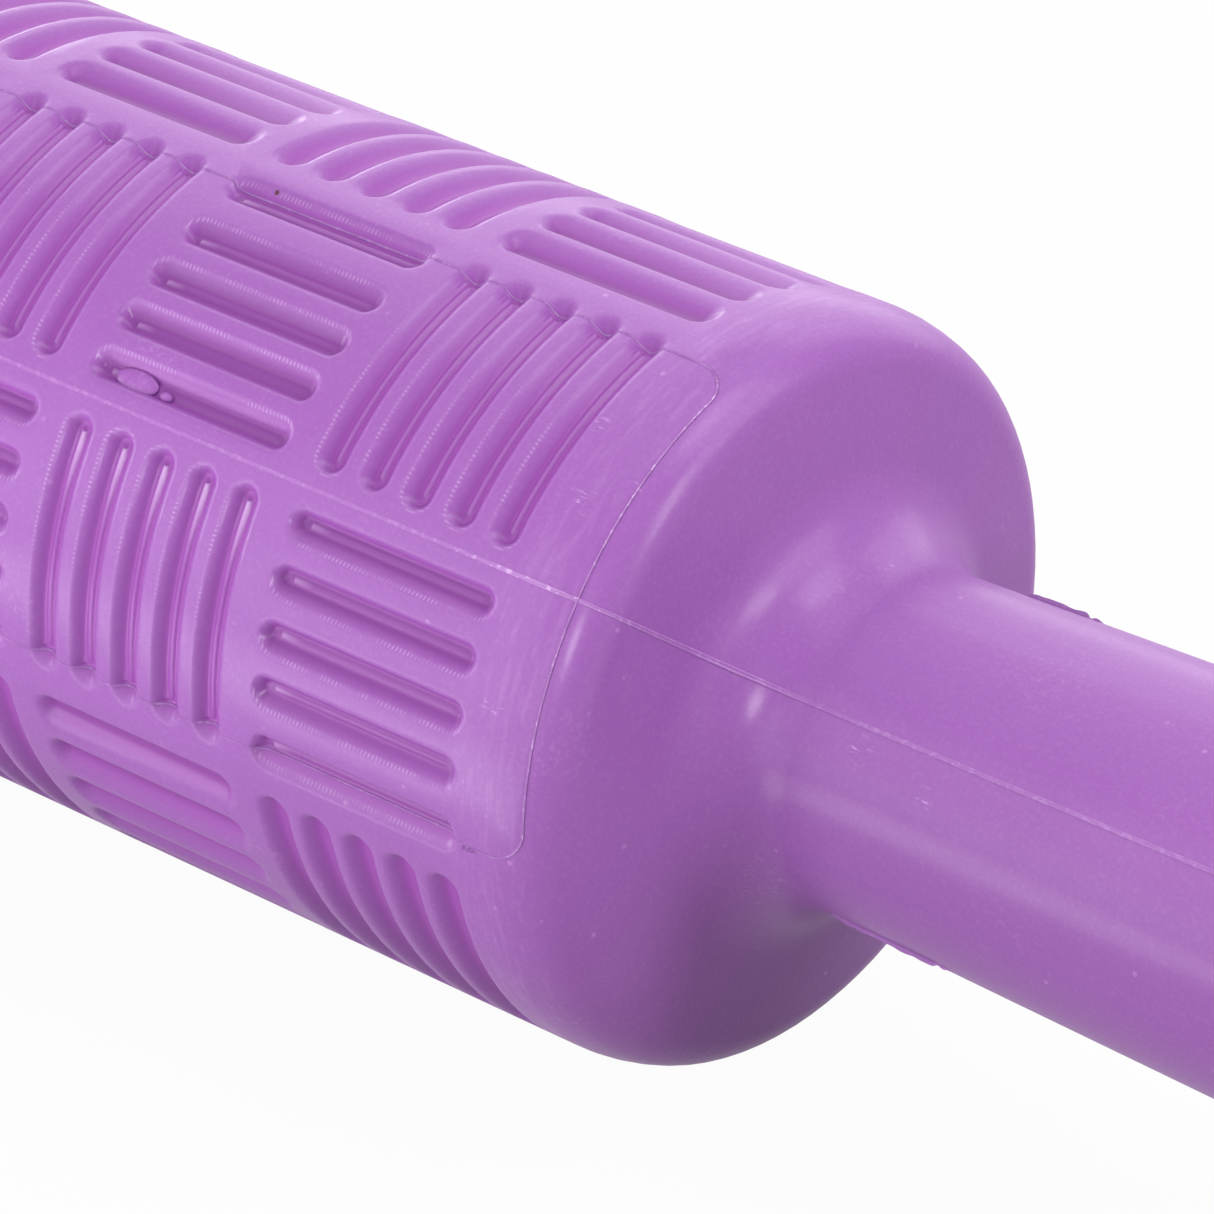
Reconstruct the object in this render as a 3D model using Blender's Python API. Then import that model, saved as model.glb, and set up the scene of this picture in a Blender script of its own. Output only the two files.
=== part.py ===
"""Embossing roller in soft plastic, blow-moulded in one piece with its two handles.

The drum carries a basket weave of sunk grooves: square blocks of five, laid by turns along the
drum and around it. The mould leaves a raised seam bead on each side, from handle to handle.
Each handle is trimmed open at its end, and a push-in plug closes it.

Lengths are in metres. X runs along the roller, +Z is up and the origin is at its middle.
Angles around the roller start at the front, -Y, and turn up towards +Z.
"""

import math

import bmesh
import bpy
from mathutils import Vector

# Moulding
DRUM_RADIUS = 0.025
SHOULDER_RADIUS = 0.005
FACE_ANGLE = math.radians(80.0)
ROOT_RADIUS = 0.0063
HANDLE_LENGTH = 0.058
HANDLE_ROOT_RADIUS = 0.0112
HANDLE_END_RADIUS = 0.0126
HANDLE_END_ROUND = 0.0025
WALL = 0.0022
END_WALL = 0.0025

# Seam bead, where the two halves of the mould meet. At this angle the roller lies on a flat facet.
SEAM_ANGLE = math.radians(39.375)
BEAD_WIDTH = 0.0007
BEAD_HEIGHT = 0.00025

# Basket weave
COLUMN_COUNT = 5
ROW_COUNT = 8
GROOVES_PER_BLOCK = 5
COLUMN_PITCH = 0.0191
BLOCK_GAP = 0.0025
DRUM_MARGIN = 0.0026
GROOVE_WIDTH = 0.0022
GROOVE_FLOOR_WIDTH = 0.0009
GROOVE_DEPTH = 0.0011

# End plugs
CLEARANCE = 0.0003
END_RIM_WIDTH = 0.0013
RECESS_DEPTH = 0.0012
SEAT_WIDTH = 0.002
FLANGE_PROUD = 0.0008
FLANGE_CHAMFER = 0.0005
SNAP_OVERLAP = 0.0004
SNAP_LENGTH = 0.001
NOSE_LENGTH = 0.003
NOSE_TAPER = 0.0006
PLUG_WALL = 0.0013

# Smoothness of the faceted surfaces
FACETS_PER_ROW = 4
SHOULDER_STEPS = 5
ROOT_STEPS = 5
ROUND_STEPS = 3
GROOVE_END_STEPS = 3
INNER_STEPS = 3
BORE_SEGMENTS = 32
SHARP_ANGLE = math.radians(35.0)
MERGE_DISTANCE = 0.000001

# Finish
PURPLE = (0.42, 0.15, 0.52, 1.0)
SATIN_ROUGHNESS = 0.38

# Worked out from the sizes above
ROW_PITCH = math.tau * DRUM_RADIUS / ROW_COUNT
HALF_PATTERN = (COLUMN_COUNT * COLUMN_PITCH - BLOCK_GAP) / 2
HALF_BARREL = HALF_PATTERN + DRUM_MARGIN
HALF_LENGTH = HALF_BARREL + SHOULDER_RADIUS * math.sin(FACE_ANGLE) + HANDLE_LENGTH
ROWS_PER_SEAM = ROW_COUNT // 2
FACET_COUNT = ROW_COUNT * FACETS_PER_ROW
FACET_PITCH = ROW_PITCH / FACETS_PER_ROW
RECESS_RADIUS = HANDLE_END_RADIUS - HANDLE_END_ROUND - END_RIM_WIDTH
FLANGE_RADIUS = RECESS_RADIUS - CLEARANCE
BORE_RADIUS = FLANGE_RADIUS - SEAT_WIDTH


def on_circle(x, radius, angle):
    """Place on a circle round the roller's axis, with the angle counted from the seam."""
    turned = SEAM_ANGLE + angle
    return Vector((x, -radius * math.cos(turned), radius * math.sin(turned)))


def on_facets(x, radius, turn):
    """Place on the flat facets inside a circle round the axis, with the turn counted in facets."""
    corner = math.floor(turn)
    step = math.tau / FACET_COUNT
    near = on_circle(x, radius, corner * step)
    far = on_circle(x, radius, (corner + 1) * step)
    return near.lerp(far, turn - corner)


def arc(centre_x, centre_r, radius, start, end, steps):
    """Points of an arc in the (x, r) half plane. The angle is that of the outward normal from radial."""
    angles = [start + (end - start) * step / steps for step in range(steps + 1)]
    return [(centre_x + radius * math.sin(a), centre_r + radius * math.cos(a)) for a in angles]


def end_profile(offset, shoulder_steps, root_steps):
    """Shoulder, end face, root fillet and handle as (x, r) points, moved out by offset."""
    shoulder_r = DRUM_RADIUS - SHOULDER_RADIUS
    shoulder_arc = SHOULDER_RADIUS + offset
    shoulder = arc(HALF_BARREL, shoulder_r, shoulder_arc, 0, FACE_ANGLE, shoulder_steps)

    root_r = HANDLE_ROOT_RADIUS + ROOT_RADIUS
    face_drop = (shoulder_r - root_r) + (SHOULDER_RADIUS + ROOT_RADIUS) * math.cos(FACE_ANGLE)
    face_run = face_drop / math.tan(FACE_ANGLE)
    root_x = HALF_BARREL + face_run + (SHOULDER_RADIUS + ROOT_RADIUS) * math.sin(FACE_ANGLE)
    root = arc(root_x, root_r, offset - ROOT_RADIUS, FACE_ANGLE, 0, root_steps)

    grip_end = (HALF_LENGTH - HANDLE_END_ROUND, HANDLE_END_RADIUS + offset)
    return shoulder + root + [grip_end]


def ring_places(place, crest):
    """Points of one ring of the moulding: its facets, with a bead's foot, crest and foot at each seam."""
    x, radius = place
    foot = BEAD_WIDTH / 2 / (math.tau * radius / FACET_COUNT)
    places = []
    for corner in range(FACET_COUNT):
        if corner % (ROWS_PER_SEAM * FACETS_PER_ROW):
            places.append(on_facets(x, radius, corner))
            continue
        places.append(on_facets(x, radius, corner - foot))
        places.append(on_facets(*crest, corner))
        places.append(on_facets(x, radius, corner + foot))
    return places


def circle_places(x, radius):
    """Points of a plain circle round the axis, for the bore and the inner skin."""
    angles = [math.tau * index / BORE_SEGMENTS for index in range(BORE_SEGMENTS)]
    return [on_circle(x, radius, angle) for angle in angles]


def skin_rings(bm, rings):
    """Joins rings that have the same number of points with quads, and returns their vertices."""
    loops = [[bm.verts.new(place) for place in ring] for ring in rings]
    for near, far in zip(loops, loops[1:]):
        for index in range(len(near)):
            after = (index + 1) % len(near)
            bm.faces.new((near[index], near[after], far[after], far[index]))
    return loops


def closed_edges(bm, loop):
    """Edges round a loop of vertices, made where they are missing."""
    edges = []
    for first, second in zip(loop, loop[1:] + loop[:1]):
        edges.append(bm.edges.get((first, second)) or bm.edges.new((first, second)))
    return edges


def column_edges():
    """Where one column of blocks ends and the next begins, with the margins in the outer columns."""
    inner = [(column - COLUMN_COUNT / 2) * COLUMN_PITCH for column in range(1, COLUMN_COUNT)]
    return [-HALF_BARREL] + inner + [HALF_BARREL]


def facet_lines(row):
    """Arc lengths of the facet edges inside a row."""
    return [row * ROW_PITCH + step * FACET_PITCH for step in range(1, FACETS_PER_ROW)]


def row_limits(row):
    """Arc lengths where the skin of a row starts and ends, beside the bead where there is one."""
    foot = BEAD_WIDTH / 2
    start = row * ROW_PITCH + (foot if row % ROWS_PER_SEAM == 0 else 0)
    end = (row + 1) * ROW_PITCH - (foot if (row + 1) % ROWS_PER_SEAM == 0 else 0)
    return start, end


def groove_rim(stops):
    """Rim of one groove as (along, across) pairs: straight between the stops, round at the ends."""
    half = GROOVE_WIDTH / 2
    turns = [math.pi * (step / GROOVE_END_STEPS - 1 / 2) for step in range(1, GROOVE_END_STEPS)]
    near_side = [(stop, -half) for stop in stops]
    far_end = [(stops[-1] + half * math.cos(turn), half * math.sin(turn)) for turn in turns]
    far_side = [(stop, half) for stop in reversed(stops)]
    near_end = [(stops[0] - half * math.cos(turn), -half * math.sin(turn)) for turn in turns]
    return near_side + far_end + far_side + near_end


def add_groove(bm, stops, place):
    """Sinks one groove: sloping walls from its rim to a narrow flat floor. Returns the rim's vertices."""
    half_floor = GROOVE_FLOOR_WIDTH / 2
    floor = {
        side: [bm.verts.new(place(stop, side * half_floor, -GROOVE_DEPTH)) for stop in stops]
        for side in (-1, 1)
    }
    rim = groove_rim(stops)
    verts = [bm.verts.new(place(along, across, 0)) for along, across in rim]
    mates = []
    for along, across in rim:
        nearest = min(range(len(stops)), key=lambda index: abs(stops[index] - along))
        mates.append(floor[-1 if across < 0 else 1][nearest])
    for index in range(len(rim)):
        after = (index + 1) % len(rim)
        corners = [verts[index], verts[after], mates[after]]
        if mates[after] is not mates[index]:
            corners.append(mates[index])
        bm.faces.new(corners)
    for index in range(len(stops) - 1):
        bm.faces.new((floor[-1][index], floor[-1][index + 1], floor[1][index + 1], floor[1][index]))
    return verts


def block_grooves(bm, column, row):
    """Sinks the grooves of one block, along the drum or around it by turns. Returns their rims."""
    half = GROOVE_WIDTH / 2
    x_start = (column - COLUMN_COUNT / 2) * COLUMN_PITCH + BLOCK_GAP / 2
    x_end = x_start + COLUMN_PITCH - BLOCK_GAP
    arc_start = row * ROW_PITCH + BLOCK_GAP / 2
    arc_end = arc_start + ROW_PITCH - BLOCK_GAP
    around = (column + row) % 2 == 0
    if around:
        lines = [line for line in facet_lines(row) if arc_start + half < line < arc_end - half]
        stops = [arc_start + half] + lines + [arc_end - half]
        first, last = x_start + half, x_end - half
    else:
        stops = [x_start + half, x_end - half]
        first, last = arc_start + half, arc_end - half

    rims = []
    for index in range(GROOVES_PER_BLOCK):
        middle = first + (last - first) * index / (GROOVES_PER_BLOCK - 1)
        if around:
            rims.append(add_groove(bm, stops, lambda s, t, h: Vector((middle + t, s, h))))
        else:
            rims.append(add_groove(bm, stops, lambda s, t, h: Vector((s, middle + t, h))))
    return rims


def add_block(bm, column, row):
    """One block of the weave in the unrolled sheet: its grooves, and the land that holds them."""
    x_start, x_end = column_edges()[column : column + 2]
    arc_start, arc_end = row_limits(row)
    lines = facet_lines(row)
    outline = [(x_start, line) for line in [arc_start] + lines + [arc_end]]
    outline += [(x_end, line) for line in [arc_end] + lines[::-1] + [arc_start]]
    border = [bm.verts.new((x, length, 0)) for x, length in outline]
    edges = closed_edges(bm, border)
    for rim in block_grooves(bm, column, row):
        edges += closed_edges(bm, rim)
    bmesh.ops.triangle_fill(bm, use_beauty=True, use_dissolve=False, edges=edges, normal=(0, 0, 1))


def add_drum_bead(bm, row):
    """The seam bead in the unrolled sheet, on the line where the given row starts."""
    middle = row * ROW_PITCH
    for x_start, x_end in zip(column_edges(), column_edges()[1:]):
        for foot in (-BEAD_WIDTH / 2, BEAD_WIDTH / 2):
            corners = [
                (x_start, middle + foot, 0),
                (x_end, middle + foot, 0),
                (x_end, middle, BEAD_HEIGHT),
                (x_start, middle, BEAD_HEIGHT),
            ]
            bm.faces.new([bm.verts.new(corner) for corner in corners])


def add_drum(bm):
    """The patterned barrel of the drum: laid out flat, then rolled round the axis."""
    for row in range(ROW_COUNT):
        for column in range(COLUMN_COUNT):
            add_block(bm, column, row)
    for row in range(0, ROW_COUNT, ROWS_PER_SEAM):
        add_drum_bead(bm, row)
    for vert in bm.verts:
        x, length, height = vert.co
        vert.co = on_facets(x, DRUM_RADIUS + height, length / FACET_PITCH)


def add_end(bm, side):
    """Shoulder, handle and plug seat at one end. Returns the inner skin's rings, from the bore inwards."""
    skin = end_profile(0, SHOULDER_STEPS, ROOT_STEPS)
    crest = end_profile(BEAD_HEIGHT, SHOULDER_STEPS, ROOT_STEPS)
    round_x = HALF_LENGTH - HANDLE_END_ROUND
    round_r = HANDLE_END_RADIUS - HANDLE_END_ROUND
    nose = arc(round_x, round_r, HANDLE_END_ROUND, 0, math.pi / 2, ROUND_STEPS)[1:]
    rings = []
    for (x, radius), (crest_x, crest_r) in zip(skin + nose, crest + nose):
        rings.append(ring_places((side * x, radius), (side * crest_x, crest_r)))
    outer = skin_rings(bm, rings)

    seat_x = HALF_LENGTH - RECESS_DEPTH
    bore = [
        (HALF_LENGTH, RECESS_RADIUS),
        (seat_x, RECESS_RADIUS),
        (seat_x, BORE_RADIUS),
        (seat_x - END_WALL, BORE_RADIUS),
    ]
    seat = skin_rings(bm, [circle_places(side * x, radius) for x, radius in bore])
    edges = closed_edges(bm, outer[-1]) + closed_edges(bm, seat[0])
    bmesh.ops.triangle_fill(bm, use_beauty=True, use_dissolve=False, edges=edges, normal=(side, 0, 0))

    inside = end_profile(-WALL, INNER_STEPS, INNER_STEPS)
    inside[-1] = (seat_x - END_WALL, HANDLE_END_RADIUS - WALL)
    return [bore[-1]] + inside[::-1]


def build_shell(material):
    """The moulding: drum, shoulders and handles as one hollow wall, open at both handle ends."""
    bm = bmesh.new()
    add_drum(bm)
    inner = add_end(bm, 1)
    add_end(bm, -1)
    through = inner + [(-x, radius) for x, radius in reversed(inner)]
    skin_rings(bm, [circle_places(x, radius) for x, radius in through])
    bmesh.ops.remove_doubles(bm, verts=bm.verts, dist=MERGE_DISTANCE)
    return finish_mesh(bm, "roller_shell", material)


def plug_profile():
    """Half section of a plug as (height, radius), with the handle's end at height zero."""
    underside = CLEARANCE - RECESS_DEPTH
    stem_radius = BORE_RADIUS - CLEARANCE
    snap_radius = BORE_RADIUS + SNAP_OVERLAP
    snap_start = -RECESS_DEPTH - END_WALL - CLEARANCE
    snap_end = snap_start - SNAP_LENGTH
    nose_end = snap_end - NOSE_LENGTH
    cup_radius = stem_radius - PLUG_WALL
    cup_floor = underside - PLUG_WALL
    return [
        (FLANGE_PROUD, 0),
        (FLANGE_PROUD, FLANGE_RADIUS - FLANGE_CHAMFER),
        (FLANGE_PROUD - FLANGE_CHAMFER, FLANGE_RADIUS),
        (underside, FLANGE_RADIUS),
        (underside, stem_radius),
        (snap_start, stem_radius),
        (snap_start, snap_radius),
        (snap_end, snap_radius),
        (nose_end, stem_radius - NOSE_TAPER),
        (nose_end, cup_radius),
        (cup_floor, cup_radius),
        (cup_floor, 0),
    ]


def build_plug_mesh(material):
    """One push-in plug, turned round its own Z axis: flange, stem, snap ring and hollow nose."""
    bm = bmesh.new()
    verts = [bm.verts.new((radius, 0, height)) for height, radius in plug_profile()]
    edges = [bm.edges.new(pair) for pair in zip(verts, verts[1:])]
    bmesh.ops.spin(
        bm, geom=verts + edges, axis=(0, 0, 1), cent=(0, 0, 0), steps=BORE_SEGMENTS, angle=math.tau
    )
    bmesh.ops.remove_doubles(bm, verts=bm.verts, dist=MERGE_DISTANCE)
    return new_mesh(bm, "end_plug", material)


def new_mesh(bm, name, material):
    """Closes off a bmesh as a named mesh: faces outward, round surfaces smooth, edges crisp."""
    bmesh.ops.recalc_face_normals(bm, faces=bm.faces)
    mesh = bpy.data.meshes.new(name)
    bm.to_mesh(mesh)
    bm.free()
    mesh.materials.append(material)
    mesh.shade_smooth()
    mesh.set_sharp_from_angle(angle=SHARP_ANGLE)
    return mesh


def add_object(name, mesh):
    """Puts a mesh in the scene as an object of the given name."""
    item = bpy.data.objects.new(name, mesh)
    bpy.context.scene.collection.objects.link(item)
    return item


def finish_mesh(bm, name, material):
    """Object of the given name, made from a bmesh."""
    return add_object(name, new_mesh(bm, name, material))


def satin_plastic(name):
    """Soft coloured plastic with a satin surface."""
    material = bpy.data.materials.new(name)
    material.use_nodes = True
    shader = material.node_tree.nodes["Principled BSDF"]
    shader.inputs["Base Color"].default_value = PURPLE
    shader.inputs["Roughness"].default_value = SATIN_ROUGHNESS
    shader.inputs["Metallic"].default_value = 0.0
    return material


def place_plug(name, mesh, side):
    """Puts a plug in the handle's end at the given side, its flange outwards."""
    plug = add_object(name, mesh)
    plug.location = (side * HALF_LENGTH, 0, 0)
    plug.rotation_euler = (0, side * math.pi / 2, 0)
    return plug


def clear_scene():
    """Removes the objects that the scene starts with."""
    for item in list(bpy.data.objects):
        bpy.data.objects.remove(item)


def build_roller():
    """The whole roller: the moulding and its two plugs."""
    clear_scene()
    build_shell(satin_plastic("shell_plastic"))
    plug_mesh = build_plug_mesh(satin_plastic("plug_plastic"))
    place_plug("right_end_plug", plug_mesh, 1)
    place_plug("left_end_plug", plug_mesh, -1)


build_roller()
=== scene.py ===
"""Studio picture of a soft plastic embossing roller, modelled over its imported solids.

The roller is one hollow moulding with two push-in end plugs. Its drum carries a basket weave of
sunk grooves. Lengths are in metres, X runs along the roller and +Z is up. Angles round the roller
start at the front, -Y, and turn up towards +Z.
"""

import logging
import math
from collections.abc import Callable, Iterator, Sequence
from contextlib import contextmanager
from dataclasses import dataclass
from enum import Enum

import bmesh
import bpy
import numpy as np
from mathutils import Matrix, Vector, noise
from mathutils.bvhtree import BVHTree


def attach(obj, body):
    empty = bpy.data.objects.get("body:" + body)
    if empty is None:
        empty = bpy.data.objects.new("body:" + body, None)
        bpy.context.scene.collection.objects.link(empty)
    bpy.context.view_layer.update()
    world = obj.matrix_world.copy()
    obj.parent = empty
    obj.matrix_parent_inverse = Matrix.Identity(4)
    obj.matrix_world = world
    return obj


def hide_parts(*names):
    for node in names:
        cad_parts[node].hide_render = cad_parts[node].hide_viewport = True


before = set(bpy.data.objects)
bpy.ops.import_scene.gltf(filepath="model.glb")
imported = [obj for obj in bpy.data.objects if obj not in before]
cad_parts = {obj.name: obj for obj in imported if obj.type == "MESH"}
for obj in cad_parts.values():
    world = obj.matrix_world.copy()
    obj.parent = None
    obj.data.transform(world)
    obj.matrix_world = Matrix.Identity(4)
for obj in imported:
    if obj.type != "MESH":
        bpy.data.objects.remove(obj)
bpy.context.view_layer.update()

MM = 0.001
WELD = 0.002 * MM
CUT_THRESHOLD = 0.01 * WELD
STRIP_WELD = 0.1 * WELD
WHITE = (1.0, 1.0, 1.0, 1.0)
LOG = logging.getLogger("roller")

Profile = list[tuple[float, float]]


# Hand tools: selecting, editing and joining as at the bench


def take(*items: bpy.types.Object) -> None:
    """Selects only these objects, and makes the first one active."""
    bpy.ops.object.select_all(action="DESELECT")
    for item in items:
        item.select_set(True)
    bpy.context.view_layer.objects.active = items[0]


@contextmanager
def editing(item: bpy.types.Object) -> Iterator[None]:
    """Holds one object in edit mode, with nothing else selected.

    Args:
        item: the object to edit.
    """
    take(item)
    bpy.ops.object.mode_set(mode="EDIT")
    try:
        yield
    finally:
        bpy.ops.object.mode_set(mode="OBJECT")


def pick_verts(item: bpy.types.Object, wanted: Callable[[Vector], bool]) -> None:
    """Selects the vertices of the edited object by their place.

    Args:
        item: the object in edit mode.
        wanted: says for a place whether its vertex is selected.
    """
    bpy.ops.mesh.select_all(action="DESELECT")
    bm = bmesh.from_edit_mesh(item.data)
    for vert in bm.verts:
        vert.select_set(wanted(vert.co))
    bm.select_flush_mode()
    bmesh.update_edit_mesh(item.data)


def pick_faces(item: bpy.types.Object, wanted: Callable[[bmesh.types.BMFace], bool]) -> None:
    """Selects the faces of the edited object that pass a test.

    Args:
        item: the object in edit mode.
        wanted: says for a face whether it is selected.
    """
    bpy.ops.mesh.select_all(action="DESELECT")
    bm = bmesh.from_edit_mesh(item.data)
    for face in bm.faces:
        face.select_set(wanted(face))
    bmesh.update_edit_mesh(item.data)


def own_copy(item: bpy.types.Object, placing: Matrix) -> bpy.types.Object:
    """Copies an object with a mesh of its own, moved in its mesh.

    Args:
        item: the object to copy.
        placing: where the copy's points go.

    Returns:
        The copy, linked to the scene.
    """
    copy = item.copy()
    copy.data = item.data.copy()
    copy.data.transform(placing)
    bpy.context.scene.collection.objects.link(copy)
    return copy


def join(items: Sequence[bpy.types.Object], name: str) -> bpy.types.Object:
    """Joins objects into the first one and welds what meets.

    Args:
        items: the objects to join.
        name: the joined object's name.

    Returns:
        The joined object.
    """
    take(*items)
    bpy.ops.object.join()
    joined = bpy.context.active_object
    joined.name = name
    joined.data.name = name
    with editing(joined):
        bpy.ops.mesh.select_all(action="SELECT")
        bpy.ops.mesh.remove_doubles(threshold=WELD)
    return joined


def throw_away(*items: bpy.types.Object) -> None:
    """Removes helper objects from the scene."""
    for item in items:
        bpy.data.objects.remove(item)


def settle(item: bpy.types.Object) -> None:
    """Puts an object's place, turn and scale into its mesh."""
    take(item)
    bpy.ops.object.transform_apply(location=True, rotation=True, scale=True)


def points_of(item: bpy.types.Object) -> np.ndarray:
    """Points of an object's mesh, one row each."""
    flat = np.empty(len(item.data.vertices) * 3, np.float32)
    item.data.vertices.foreach_get("co", flat)
    return flat.reshape(-1, 3).astype(np.float64)


def move_points(item: bpy.types.Object, points: np.ndarray) -> None:
    """Moves every vertex of an object's mesh to the given rows."""
    item.data.vertices.foreach_set("co", points.astype(np.float32).ravel())
    item.data.update()


def keep_value(item: bpy.types.Object, name: str, values: np.ndarray) -> None:
    """Keeps a number or a vector per vertex, for the materials.

    Args:
        item: the object that gets the attribute.
        name: the attribute's name.
        values: one number or one row of three per vertex.
    """
    kind, key = ("FLOAT", "value") if values.ndim == 1 else ("FLOAT_VECTOR", "vector")
    layer = item.data.attributes.new(name, kind, "POINT")
    layer.data.foreach_set(key, values.astype(np.float32).ravel())


def cut_across(
    item: bpy.types.Object, places: Sequence[tuple[float, ...]], normal: tuple[int, int, int]
) -> None:
    """Cuts the faces of an object where parallel planes cross them.

    Args:
        item: the object to cut.
        places: a point of each plane.
        normal: the direction straight out of all the planes.
    """
    with editing(item):
        for place in places:
            bpy.ops.mesh.select_all(action="SELECT")
            bpy.ops.mesh.bisect(plane_co=place, plane_no=normal, threshold=CUT_THRESHOLD)


def ramp(values: np.ndarray, width: float) -> np.ndarray:
    """Share that rises from 0 to 1 over a width."""
    return np.clip(values / width, 0.0, 1.0)


def swell(values: np.ndarray, middle: float, width: float) -> np.ndarray:
    """Share that is 1 in the middle and fades on both sides of it."""
    return np.exp(-(((values - middle) / width) ** 2))


def quarter_turn(steps: int) -> list[float]:
    """Angles from 0 to 90 degrees, ends included."""
    return [math.pi / 2 * step / steps for step in range(steps + 1)]


# The roller's shape


@dataclass(frozen=True)
class RollerSizes:
    """Sizes of the moulding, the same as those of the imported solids.

    Only the shoulder is finer: it eases off the drum and then turns in more tightly.
    """

    drum_radius: float = 25.0 * MM
    shoulder_radius: float = 5.0 * MM
    ease_radius: float = 9.0 * MM
    ease_angle: float = math.radians(20.0)
    tight_radius: float = 3.4 * MM
    face_angle: float = math.radians(80.0)
    root_radius: float = 6.3 * MM
    handle_root_radius: float = 11.2 * MM
    handle_end_radius: float = 12.6 * MM
    handle_end_round: float = 2.5 * MM
    half_barrel: float = 49.1 * MM
    half_length: float = 112.024 * MM
    wall: float = 2.2 * MM
    end_wall: float = 2.5 * MM
    recess_radius: float = 8.8 * MM
    recess_depth: float = 1.2 * MM
    bore_radius: float = 6.5 * MM
    seam_angle: float = math.radians(39.375)
    column_count: int = 5
    row_count: int = 8
    column_pitch: float = 19.1 * MM
    block_gap: float = 2.5 * MM
    grooves_per_block: int = 5
    groove_width: float = 2.2 * MM

    @property
    def row_pitch(self) -> float:
        """Length of one row of blocks round the drum."""
        return math.tau * self.drum_radius / self.row_count

    @property
    def half_weave(self) -> float:
        """Half length of the blocks, laid side by side."""
        return self.column_count * self.column_pitch / 2

    @property
    def groove_margin(self) -> float:
        """From a block's edge to the centre of a groove's round end."""
        return (self.block_gap + self.groove_width) / 2

    def spoke(self, turn: float) -> Vector:
        """Direction straight out from the axis, with the turn counted from the seam."""
        angle = self.seam_angle + turn
        return Vector((0, -math.cos(angle), math.sin(angle)))


SIZES = RollerSizes()


def arc(
    centre: tuple[float, float], radius: float, start: float, end: float, steps: int
) -> Profile:
    """Points of an arc in the (x, r) half plane.

    Args:
        centre: the arc's centre as (x, r).
        radius: its radius, negative for a hollow.
        start: angle of the first point's normal from straight out.
        end: the same for the last point.
        steps: number of straight steps.

    Returns:
        The points, ends included.
    """
    angles = [start + (end - start) * step / steps for step in range(steps + 1)]
    return [(centre[0] + radius * math.sin(a), centre[1] + radius * math.cos(a)) for a in angles]


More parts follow.
